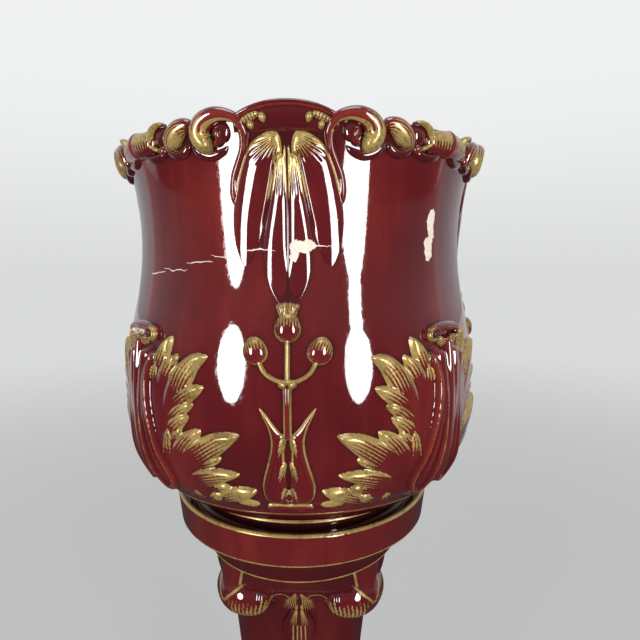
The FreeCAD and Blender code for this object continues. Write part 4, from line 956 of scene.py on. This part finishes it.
def make_materials(colours):
    make_glaze_group()
    make_gilding_group()

    def by_mask(name):
        return lambda w: w.mask(name)

    for name in ("oxblood_relief", "oxblood_wall"):
        glazed_material(name, colours, by_mask("gold"), by_mask("pool"), by_mask("thin"),
                        glaze_losses)

    def even(amount):
        """The same darkening or thinning all over, broken up softly; the darkening is pooled glaze and
        painted shade.
        """
        return lambda w: w.step(w.noise(w.place(), 9, 2), 0.2, 0.8, amount * 0.7, amount * 1.3)

    dish_low, dish_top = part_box("stand_dish")[0][2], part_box("stand_dish")[1][2]
    neck_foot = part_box("stand_neck")[0][2]
    stand_lip = gilded_lines(((dish_top - 0.0006, 0.0019), (dish_low, 0.0013)))
    neck_lines = gilded_lines(((dish_low, 0.0012), (neck_foot, 0.0012)))
    base_lines = gilded_lines(((0.020, 0.0016), (0.112, 0.0016)))
    foot_line = gilded_lines(((FOOT * MM, 0.0026),))
    glazed_material("oxblood_dish", colours, stand_lip, None, even(0.07))
    # Painted shade: the neck, capital, shaft and base are darkened all over, and the foot ring in the
    # dish's recess nearly to the deep colour.
    for name, gold, pool in (("neck", neck_lines, 0.50), ("capital", spray_gilding, 0.42),
                             ("shaft", spray_gilding, 0.46), ("base", base_lines, 0.40),
                             ("foot", foot_line, 0.90)):
        glazed_material("oxblood_" + name, colours, gold, even(pool))


def gilded_lines(levels):
    """Gilded lines round the stand: pairs of a height and a half width, in metres."""
    def mask(w):
        height = w.split()[2]
        total = None
        for level, half in levels:
            total = w.most(total, w.step(w.near(height, level), half * 1.2, half * 0.7))
        return total
    return mask


def spray_gilding(w):
    """Two tiers of comb leaves under an arch at the capital, and strands down each face."""
    x, y, height = w.split()
    across = w.math("MINIMUM", w.math("ABSOLUTE", x), w.math("ABSOLUTE", y))
    across = w.times(across, 1000.0)
    level = w.times(height, 1000.0)
    total = None
    for foot_across, top_level, length, lean, spread, pitch in (
            (2.0, 551.0, 36.0, 17.0, 17.0, 4.6), (1.6, 527.0, 30.0, 11.0, 12.0, 4.2)):
        right = w.less(across, foot_across)
        down = w.less(top_level, level)
        ray = w.times(w.math("ARCTAN2", right, down), 180 / math.pi)
        far = w.length(right, down)
        comb = w.math("COSINE", w.times(ray, TURN / pitch))
        fine = w.less(w.times(comb, 0.5),
                      w.step(far, length * 0.25, length, -0.62, 0.50))
        side = w.step(w.near(ray, lean), spread, spread - 5)
        leaf = w.times(w.times(w.step(fine, -0.06, 0.10), side),
                      w.step(far, length, length - 1.5))
        leaf = w.times(leaf, w.step(far, 2.0, 4.0))
        total = w.most(total, leaf)
    wave = w.times(w.math("SINE", w.times(level, 0.018)), 1.2)
    for place in (1.4, 6.2):
        strand = w.step(w.near(w.less(across, wave), place), 0.95, 0.45)
        strand = w.times(strand, w.step(level, 503.0, 496.0))
        total = w.most(total, w.times(strand, w.step(level, 262.0, 275.0)))
    right, up = w.less(across, 20.5), w.less(level, 536.0)
    arch = w.step(w.near(w.length(right, up), 10.5), 1.1, 0.5)
    arch = w.times(arch, w.step(up, -8.0, -5.0))
    return w.most(total, arch)


def glaze_losses(w):
    """Where the glaze has flaked off or cracked and shows the cream ware."""
    at = w.node("ShaderNodeTexCoord").outputs["Object"]
    total = None
    for wobble, grain, places in ((0.012, 90, FLAKES), (0.0095, 45, CRACKS)):
        noise = w.node("ShaderNodeTexNoise", {"Vector": at, "Scale": grain, "Detail": 4,
                                              "Roughness": 0.65}).outputs[1]
        moved = w.vector("SCALE", w.vector("SUBTRACT", noise, (0.5, 0.5, 0.5)), Scale=wobble)
        ragged = w.vector("ADD", at, moved)
        for round_place, level, half_width, half_height in places:
            away = w.vector("SUBTRACT", ragged, tuple(on_wall(round_place / ROUND, level)))
            size = (1000 / half_width, 1000 / half_width, 1000 / half_height)
            reach = w.vector("LENGTH", w.vector("MULTIPLY", away, size), output=1)
            total = w.most(total, w.step(reach, 1.04, 0.96))
    return total


FLAKES = (   # round the bowl, level, half width, half height
    (12, 262, 10, 5.5),
    (6, 256, 4, 5.5),
    (141, 283, 5, 14),
    (138, 262, 5, 10),
    (-157, 186, 8, 6),
    (-163, 178, 4, 5),
    (70, 288, 1.2, 1.2),
    (42, 285, 1.0, 1.0),
)
CRACKS = (
    (-138, 240, 13, 0.5),
    (-112, 243, 15, 0.42),
    (-84, 249, 15, 0.42),
    (-55, 254, 15, 0.42),
    (-26, 259, 14, 0.5),
    (28, 264, 9, 0.42),
)


# ---------------------------------------------------------------- the bowl's own mesh

class Field:
    """Arithmetic on sockets of a geometry tree."""

    def __init__(self, tree, socket):
        self.tree, self.socket = tree, socket

    def _math(self, operation, *others):
        node = self.tree.nodes.new("ShaderNodeMath")
        node.operation = operation
        for slot, item in enumerate((self,) + others):
            if isinstance(item, Field):
                self.tree.links.new(item.socket, node.inputs[slot])
            else:
                node.inputs[slot].default_value = item
        return Field(self.tree, node.outputs[0])

    def __add__(self, other): return self._math("ADD", other)
    def __sub__(self, other): return self._math("SUBTRACT", other)
    def __mul__(self, other): return self._math("MULTIPLY", other)
    def __truediv__(self, other): return self._math("DIVIDE", other)
    def root(self): return self._math("MAXIMUM", 0.0)._math("SQRT")
    def sine(self): return self._math("SINE")
    def cosine(self): return self._math("COSINE")
    def below(self, other): return self._math("LESS_THAN", other)
    def wrapped(self, high, low): return self._math("WRAP", high, low)
    def clamped(self): return self._math("MAXIMUM", 0.0)._math("MINIMUM", 1.0)
    def blend(self, low, high): return (high - low) * self + low


BOWL_GRID = (433, 226)      # points round the bowl and along its profile
PROFILE_SPANS = (           # start and span of each stretch of the profile, as shares of it
    (0.0, 0.04), (0.04, 0.62), (0.66, 0.03), (0.69, 0.25), (0.94, 0.06))
WELD = 0.00002


def bowl_tree():
    """The lobed bowl as a rule: an outer profile of three arcs, lobed, and a round inside."""
    tree = bpy.data.node_groups.new("lobed_bowl", "GeometryNodeTree")
    tree.is_modifier = True
    tree.interface.new_socket("Geometry", in_out="OUTPUT", socket_type="NodeSocketGeometry")
    defaults = (("Wall Height", WALL_TOP), ("Lobe Setback", SETBACK), ("Wall Thickness", WALL),
                ("Floor Thickness", FLOOR), ("Foot Level", FOOT))
    for label, number in defaults:
        socket = tree.interface.new_socket(label, in_out="INPUT", socket_type="NodeSocketFloat")
        socket.default_value = number
    inlet = tree.nodes.new("NodeGroupInput")
    height, setback, wall, floor, foot = (Field(tree, inlet.outputs[i]) for i in range(5))
    grid = tree.nodes.new("GeometryNodeMeshGrid")
    for axis, count in zip("XY", BOWL_GRID):
        grid.inputs["Size " + axis].default_value = 1.0
        grid.inputs["Vertices " + axis].default_value = count
    position = tree.nodes.new("GeometryNodeInputPosition")
    parts = tree.nodes.new("ShaderNodeSeparateXYZ")
    tree.links.new(position.outputs[0], parts.inputs[0])
    azimuth = (Field(tree, parts.outputs[0]) + 0.5) * TURN
    share = Field(tree, parts.outputs[1]) + 0.5
    under, outer, lip, inner, bottom = (((share - start) / span).clamped()
                                        for start, span in PROFILE_SPANS)
    level_out = outer * height
    level_in = inner.blend(height, floor)

    def profile(level):
        low = (level * -1.0 + SHOULDER_CENTRE)
        low = (low * low * -1.0 + SHOULDER_ARC ** 2).root() + SHOULDER_AXIS
        middle = level - BELLY_LEVEL
        middle = (middle * middle * -1.0 + BELLY_ARC ** 2).root() + BELLY_AXIS
        high = level - WAIST_LEVEL
        high = (high * high * -1.0 + WAIST_ARC ** 2).root() * -1.0 + WAIST_AXIS
        return level.below(SHOULDER_LEVEL).blend(level.below(TURN_LEVEL).blend(high, middle), low)

    turn = azimuth.wrapped(QUARTER / 2, -QUARTER / 2)
    centre = profile(level_out) + setback
    sideways = setback * turn.sine()
    lobed = (centre * centre - sideways * sideways).root() - setback * turn.cosine()
    outside = lobed * under
    inside = profile(level_in) - wall
    inside = inside * (bottom * -1.0 + 1.0)
    radius = lip.blend(outside, inside)
    level = lip.blend(level_out, level_in) + (lip * math.pi).sine() * 2.0
    combine = tree.nodes.new("ShaderNodeCombineXYZ")
    for slot, item in enumerate((radius * azimuth.sine() * MM, radius * azimuth.cosine() * -MM,
                                 (level + foot) * MM)):
        tree.links.new(item.socket, combine.inputs[slot])
    moved = tree.nodes.new("GeometryNodeSetPosition")
    tree.links.new(grid.outputs["Mesh"], moved.inputs["Geometry"])
    tree.links.new(combine.outputs[0], moved.inputs["Position"])
    merged = tree.nodes.new("GeometryNodeMergeByDistance")
    merged.inputs["Distance"].default_value = WELD
    smooth = tree.nodes.new("GeometryNodeSetShadeSmooth")
    realised = tree.nodes.new("GeometryNodeRealizeInstances")
    glaze = tree.nodes.new("GeometryNodeSetMaterial")
    glaze.inputs["Material"].default_value = bpy.data.materials["oxblood_wall"]
    outlet = tree.nodes.new("NodeGroupOutput")
    chain = (moved, merged, smooth, realised, glaze, outlet)
    for first, second in zip(chain[:-1], chain[1:]):
        tree.links.new(first.outputs[0], second.inputs[0])
    return tree


def converted(name, tree, values):
    """A plain mesh object from a geometry tree with the values of its named inputs."""
    holder = linked(name + "_rule", bpy.data.meshes.new(name + "_rule"))
    modifier = holder.modifiers.new("rule", "NODES")
    modifier.node_group = tree
    for item in tree.interface.items_tree:
        if item.item_type == "SOCKET" and item.in_out == "INPUT" and item.name in values:
            modifier[item.identifier] = values[item.name]
    graph = bpy.context.evaluated_depsgraph_get()
    mesh = bpy.data.meshes.new_from_object(holder.evaluated_get(graph))
    bpy.data.objects.remove(holder)
    mesh.name = name
    return linked(name, mesh)


def mesh_points(mesh):
    points = np.zeros(len(mesh.vertices) * 3, np.float32)
    mesh.vertices.foreach_get("co", points)
    return points.reshape(-1, 3)


def shade_wall(piece, reliefs):
    """Painted shade round the relief (with pooled glaze), under the rim, near the foot and low on the
    wall, and painted light on the upper faces with thin glaze on the ridges, as masks.
    """
    points = mesh_points(piece.data) / MM
    azimuth = np.arctan2(points[:, 0], -points[:, 1])
    side = np.abs(folded(azimuth)) * ROUND
    level = points[:, 2] - FOOT
    pool = np.zeros(len(points))
    # Painted shade with pooled glaze: darker round the relief.
    for relief, to_side in reliefs:
        near = blurred((relief.height > 0).astype(float), int(round(5 / relief.pitch)) ** 2)
        place = to_side(side)
        column = np.clip((place - relief.columns[0]) / relief.pitch, 0, len(relief.columns) - 1)
        row = np.clip((level - relief.rows[0]) / relief.pitch, 0, len(relief.rows) - 1)
        held = ((place > relief.columns[0]) & (place < relief.columns[-1])
                & (level > relief.rows[0] - 6) & (level < relief.rows[-1] + 6))
        pool = np.maximum(pool, np.where(held, near[row.astype(int), column.astype(int)], 0))
    radial = np.hypot(points[:, 0], points[:, 1])
    outside = radial > face_radius(np.clip(level, 0, 400)) - 4
    # Painted shade: darker under the rim and near the foot.
    under_rim = step(330, 346, level) * 0.55
    low = step(26, 8, level) * 0.35
    pool = np.clip(np.maximum(pool * 1.3 - 0.1, np.maximum(under_rim, low)), 0, 1) * outside
    # Painted shade: the lower wall darker, as if lit from above.
    lower = step(190, 110, level) * 0.16 * outside
    pool = np.maximum(pool, lower)
    # Painted light: the upper middle of each face is paler, as if lit from above.
    upper = step(150, 250, level) * step(345, 300, level) * step(125, 60, side) * 0.10
    ridge_line = step(16, 5, np.abs(side - RIDGE)) * 0.16 * step(20, 90, level)
    thin = np.maximum(upper, ridge_line) * outside
    write_masks(piece.data, {"gold": 0 * level, "pool": pool, "thin": thin})


# ---------------------------------------------------------------- the stand's ornament

def volute_form():
    """A fat roll across the capital's corner, under a tongue that hangs from the neck."""
    reach, level, middle, end, half, bend = 93.0, 537.0, 24.5, 12.5, 35.0, 15.0
    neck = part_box("stand_neck")[0][2] / MM
    along = np.linspace(-1, 1, 90)
    centres = np.stack([half * along, -reach + bend * along ** 2, level + 0 * along], -1)
    radius = end + (middle - end) * np.cos(along * math.pi / 2) ** 0.8
    share = np.linspace(0, 1, 90)

    def flutes(share, angle):
        low = step(-0.1, 0.7, np.sin(angle)) * step(-0.5, 0.1, np.cos(angle))
        off = np.abs(2 * share - 1)
        groove = 0.5 - 0.5 * np.cos(TURN * (12 * off + 0.9 * np.sin(angle)))
        ring = -1.3 * step(0.05, 0.0, np.abs(off - 0.80))
        return -0.7 * groove * low * step(0.12, 0.25, off) + ring

    def finish(share, angle):
        off = np.abs(2 * share - 1)
        comb = waves(TURN * (12 * off + 0.9 * np.sin(angle)))
        low = step(-0.45, 1.0, np.sin(angle)) * step(-0.4, 0.0, np.cos(angle))
        hatching = step(-0.1, 0.12, comb - 1.06 + low * 0.98 + 0.30 * step(0.8, 0.86, off))
        hatching = hatching * step(0.10, 0.20, off) * (low > 0.03)
        up = np.clip(-np.sin(angle), 0, 1)
        crease = step(1.5, 0.8, np.abs(half * off - 1.5 - 15 * up)) * (np.sin(angle) < 0.1) \
            * step(-0.3, 0.0, np.cos(angle))
        # Painted shade: the side towards the wall and the ring groove are darker.
        return {"gold": np.maximum(hatching, crease),
                "pool": 0.6 * (np.cos(angle) < -0.2) + 0.4 * step(0.06, 0.02, np.abs(off - 0.80))}

    roll = swept(centres, round_ends(share, radius, 0.12), round_ends(share, radius, 0.12),
                 (0, -1, 0), 96, flutes, finish)
    rows = spaced([(neck + 6, 96, 25, 15), (neck - 2, 97, 25, 16), (neck - 12, 97, 22.5, 17),
                   (neck - 22, 96, 18.5, 18.5), (neck - 31, 94, 13, 20), (neck - 38, 92, 7, 20)], 60)
    path = np.stack([0 * rows[:, 0], -rows[:, 1], rows[:, 0]], -1)

    def edges(share, angle):
        line = step(0.09, 0.04, np.abs(np.abs(np.sin(angle)) - 0.88)) * (np.cos(angle) > 0)
        # Painted shade: the side towards the wall is darker.
        return {"gold": line, "thin": 0.08 * step(0.5, 1.0, np.cos(angle)),
                "pool": 0.5 * (np.cos(angle) < 0)}

    tongue = swept(path, rows[:, 2], rows[:, 3], (0, -1, 0), 64, None, edges)
    return joined([roll, tongue])


# ---------------------------------------------------------------- camera, light and floor

CAMERA_AZIMUTH, CAMERA_AWAY, CAMERA_LEVEL = 3.7, 571.3, 247.8
CAMERA_DOWN, CAMERA_ASIDE = 6.65, 2.13
LAMP_AIM = (0, 0, 0.82)
LAMPS = (   # azimuth, distance, level, width, height, watts
    ("left_window", -35, 1.7, 0.84, 0.46, 0.84, 14),
    ("right_window", 33, 1.7, 0.84, 0.46, 0.84, 13),
    ("right_skylight", 33.5, 1.7, 1.32, 0.22, 0.50, 3.6),
    ("top_soft", 0, 0.5, 2.6, 1.2, 1.2, 9),
)
FLOOR_SIZE = 30.0


def make_camera():
    """The photograph's viewpoint: a wide lens a little above the rim, tilted down."""
    azimuth = math.radians(CAMERA_AZIMUTH)
    place = Vector((CAMERA_AWAY * math.sin(azimuth), -CAMERA_AWAY * math.cos(azimuth),
                    FOOT + CAMERA_LEVEL)) * MM
    data = bpy.data.cameras.new("photographer")
    data.sensor_width = 36.0
    data.lens = 27.0
    data.clip_start = 0.02
    camera = linked("photographer", data)
    camera.location = place
    camera.rotation_mode = "XYZ"
    camera.rotation_euler = (math.radians(90 - CAMERA_DOWN), 0.0,
                             azimuth - math.radians(CAMERA_ASIDE))
    bpy.context.scene.camera = camera


def make_lamp(name, azimuth, distance, level, width, height, watts):
    data = bpy.data.lights.new(name, "AREA")
    data.shape = "ELLIPSE"
    data.size, data.size_y = width, height
    data.energy = watts
    lamp = linked(name, data)
    angle = math.radians(azimuth)
    lamp.location = (distance * math.sin(angle), -distance * math.cos(angle), level)
    direction = Vector(LAMP_AIM) - lamp.location
    lamp.rotation_mode = "QUATERNION"
    lamp.rotation_quaternion = direction.to_track_quat("-Z", "Y")
    lamp.visible_camera = False


def make_world():
    """Pale surroundings: brightest behind the object, dimmer on the photographer's side."""
    world = bpy.data.worlds.new("studio")
    bpy.context.scene.world = world
    world.use_nodes = True
    tree = world.node_tree
    tree.nodes.clear()
    w = Wiring(tree)
    path = w.node("ShaderNodeLightPath")
    at = w.node("ShaderNodeTexCoord").outputs["Generated"]
    parts = w.node("ShaderNodeSeparateXYZ", {0: at})
    around = w.step(parts.outputs[1], -0.75, 0.7, 0.10, 0.60)
    above = w.step(parts.outputs[2], -0.25, 0.5, 0.35, 1.2)
    seen = w.times(around, above)
    backdrop = w.mix(w.step(parts.outputs[2], -0.15, 0.35), (0.66, 0.67, 0.665, 1),
                     (0.865, 0.88, 0.875, 1))
    camera = w.node("ShaderNodeBackground", {"Color": backdrop, "Strength": 1.0})
    mirror = w.node("ShaderNodeBackground", {"Color": (0.93, 0.95, 1.0, 1), "Strength": seen})
    light = w.node("ShaderNodeBackground", {"Color": (1, 1, 1, 1), "Strength": 0.24})
    first = w.node("ShaderNodeMixShader", {0: w.math("MAXIMUM", path.outputs["Is Glossy Ray"],
                                                     path.outputs["Is Transmission Ray"]),
                                           1: light.outputs[0], 2: mirror.outputs[0]})
    second = w.node("ShaderNodeMixShader", {0: path.outputs["Is Camera Ray"],
                                            1: first.outputs[0], 2: camera.outputs[0]})
    w.node("ShaderNodeOutputWorld", {0: second.outputs[0]})


def make_floor():
    material = bpy.data.materials.new("pale_floor")
    material.use_nodes = True
    w = Wiring(material.node_tree)
    shader = material.node_tree.nodes["Principled BSDF"]
    outlet = material.node_tree.nodes["Material Output"]
    speckle = w.noise(w.place(), 3.0, 2)
    w.put(shader.inputs["Base Color"], w.mix(speckle, (0.60, 0.605, 0.60, 1), (0.63, 0.635, 0.63, 1)))
    spot = w.node("ShaderNodeVectorMath", {0: w.place()}, operation="LENGTH").outputs[1]
    shader.inputs["Roughness"].default_value = 0.85
    shader.inputs["Specular IOR Level"].default_value = 0.1
    path = w.node("ShaderNodeLightPath")
    behind = w.node("ShaderNodeSeparateXYZ", {0: w.place()}).outputs[1]
    pale = w.times(w.step(spot, 1.1, 3.2, 0.0, 0.50), w.step(behind, -0.4, 0.8))
    # Painted light: the floor glows, pale for the camera and, in reflections, dim near the object and
    # brighter far behind.
    dim = w.node("ShaderNodeEmission", {"Color": (0.95, 0.93, 0.97, 1),
                                        "Strength": w.add(pale, 0.045)})
    shown = w.node("ShaderNodeEmission", {"Color": (0.70, 0.712, 0.706, 1),
                                          "Strength": w.step(spot, 0.6, 5.0, 0.88, 1.0)})
    seen = w.node("ShaderNodeMixShader", {0: w.step(spot, 0.3, 5.0, 0.68, 1.0), 1: shader.outputs[0],
                                          2: shown.outputs[0]})
    mixed = w.node("ShaderNodeMixShader", {0: path.outputs["Is Glossy Ray"], 1: seen.outputs[0],
                                           2: dim.outputs[0]})
    w.put(outlet.inputs["Surface"], mixed.outputs[0])
    mesh = bpy.data.meshes.new("floor")
    corners = [(x * FLOOR_SIZE, y * FLOOR_SIZE, 0) for x, y in ((-1, -1), (1, -1), (1, 1), (-1, 1))]
    mesh.from_pydata(corners, [], [(0, 1, 2, 3)])
    mesh.materials.append(material)
    linked("floor", mesh)


# ---------------------------------------------------------------- add-on classes

def colour(name, description, default):
    return bpy.props.FloatVectorProperty(name=name, description=description + ", as sRGB",
                                         subtype="COLOR_GAMMA", default=default)


class JardiniereColours(bpy.types.PropertyGroup):
    glaze_body: colour("Glaze", "Oxblood glaze at its usual thickness", (0.36, 0.08, 0.10))
    # Deep glaze also paints the shade in hollows, behind rolls, under the rim and over the stand.
    glaze_deep_and_shade: colour("Deep glaze", "Glaze pooled in the hollows", (0.12, 0.03, 0.045))
    # Thin glaze also paints the light on the upper faces of the wall.
    glaze_thin: colour("Thin glaze", "Glaze that ran thin over the edges", (0.62, 0.24, 0.17))
    gold: colour("Gold", "Antique gilding", (0.76, 0.655, 0.40))
    gold_shade: colour("Worn gold", "Gilding where it is thin", (0.52, 0.42, 0.22))


class JardiniereSizes(bpy.types.PropertyGroup):
    wall_height: bpy.props.FloatProperty(
        name="Wall height", description="Height of the bowl's wall above its foot",
        default=WALL_TOP * MM, unit="LENGTH")
    lobe_setback: bpy.props.FloatProperty(
        name="Lobe setback", description="How far each face's centre lies behind the middle",
        default=SETBACK * MM, unit="LENGTH")


MADE = {}


class JARDINIERE_OT_materials(bpy.types.Operator):
    """Make the glazes and gilding"""
    bl_idname = "jardiniere.materials"
    bl_label = "Glazes and gilding"

    def execute(self, context):
        make_materials(context.scene.jardiniere_colours)
        return {"FINISHED"}


class JARDINIERE_OT_relief(bpy.types.Operator):
    """Model the leaves, thistles and corner leaves on the bowl"""
    bl_idname = "jardiniere.relief"
    bl_label = "Relief on the bowl"

    def execute(self, context):
        drape, thistle, acanthus = drape_form(), thistle_form(), acanthus_form()
        placed("drape_leaves", drape.solid(around_face), SIDES)
        placed("thistle_sprig", thistle.solid(around_face), SIDES)
        corner = joined([acanthus.solid(around_corner), knob_form()])
        placed("acanthus", to_front(corner), CORNERS)
        MADE["reliefs"] = [(drape, lambda side: side), (thistle, lambda side: side),
                               (acanthus, lambda side: RIDGE - side)]
        return {"FINISHED"}


class JARDINIERE_OT_bowl(bpy.types.Operator):
    """Model the lobed bowl from its rule"""
    bl_idname = "jardiniere.bowl"
    bl_label = "Lobed bowl"

    def execute(self, context):
        sizes = context.scene.jardiniere_sizes
        piece = converted("bowl_glazed", bowl_tree(), {"Wall Height": sizes.wall_height / MM,
                                                       "Lobe Setback": sizes.lobe_setback / MM})
        shade_wall(piece, MADE["reliefs"])
        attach(piece, "jardiniere")
        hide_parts("bowl")
        return {"FINISHED"}


class JARDINIERE_OT_rim(bpy.types.Operator):
    """Model the rim's scrolls, curls, corner rolls and crests"""
    bl_idname = "jardiniere.rim"
    bl_label = "Scrolled rim"

    def execute(self, context):
        placed("rim_scroll", scroll_form(), SIDES, mirrored=True)
        placed("rim_curl", curl_form(), SIDES, mirrored=True)
        placed("corner_roll", to_front(corner_form()), CORNERS)
        placed("rim_crest", crest_form(), SIDES)
        return {"FINISHED"}


class JARDINIERE_OT_stand(bpy.types.Operator):
    """Finish the stand: volutes of their own, and glaze on the solids that stay"""
    bl_idname = "jardiniere.stand"
    bl_label = "Pedestal stand"

    def execute(self, context):
        placed("capital_volute", volute_form(), CORNERS, "stand")
        finishes = {"stand_dish": "oxblood_dish", "stand_neck": "oxblood_neck",
                    "stand_capital": "oxblood_capital", "stand_shaft": "oxblood_shaft",
                    "stand_base": "oxblood_base", "foot_ring": "oxblood_foot"}
        for node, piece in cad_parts.items():
            finish = finishes.get(node)
            if node.startswith(("shaft_spray", "base_scroll")):
                finish = "oxblood_shaft"
            if finish:
                piece.data.materials.clear()
                piece.data.materials.append(bpy.data.materials[finish])
        return {"FINISHED"}


class JARDINIERE_OT_stage(bpy.types.Operator):
    """Set up the camera, the lamps, the pale surroundings and the floor"""
    bl_idname = "jardiniere.stage"
    bl_label = "Stage"

    def execute(self, context):
        context.scene.view_settings.view_transform = "Standard"
        make_camera()
        make_world()
        make_floor()
        for lamp in LAMPS:
            make_lamp(*lamp)
        return {"FINISHED"}


class JARDINIERE_PT_panel(bpy.types.Panel):
    """Build steps and sizes"""
    bl_idname = "JARDINIERE_PT_panel"
    bl_label = "Jardiniere on stand"
    bl_space_type = "VIEW_3D"
    bl_region_type = "UI"
    bl_category = "Jardiniere"

    def draw(self, context):
        for group in (context.scene.jardiniere_sizes, context.scene.jardiniere_colours):
            for name in group.__annotations__:
                self.layout.prop(group, name)
        for step_name in STEPS:
            self.layout.operator(f"jardiniere.{step_name}")


STEPS = ("stage", "materials", "relief", "bowl", "rim", "stand")
CLASSES = (JardiniereColours, JardiniereSizes, JARDINIERE_OT_materials, JARDINIERE_OT_relief,
           JARDINIERE_OT_bowl, JARDINIERE_OT_rim, JARDINIERE_OT_stand, JARDINIERE_OT_stage,
           JARDINIERE_PT_panel)


def register():
    for item in CLASSES:
        bpy.utils.register_class(item)
    bpy.types.Scene.jardiniere_colours = bpy.props.PointerProperty(type=JardiniereColours)
    bpy.types.Scene.jardiniere_sizes = bpy.props.PointerProperty(type=JardiniereSizes)


def unregister():
    del bpy.types.Scene.jardiniere_sizes
    del bpy.types.Scene.jardiniere_colours
    for item in reversed(CLASSES):
        bpy.utils.unregister_class(item)


def main():
    register()
    for step_name in STEPS:
        getattr(bpy.ops.jardiniere, step_name)()


if __name__ == "__main__":
    main()
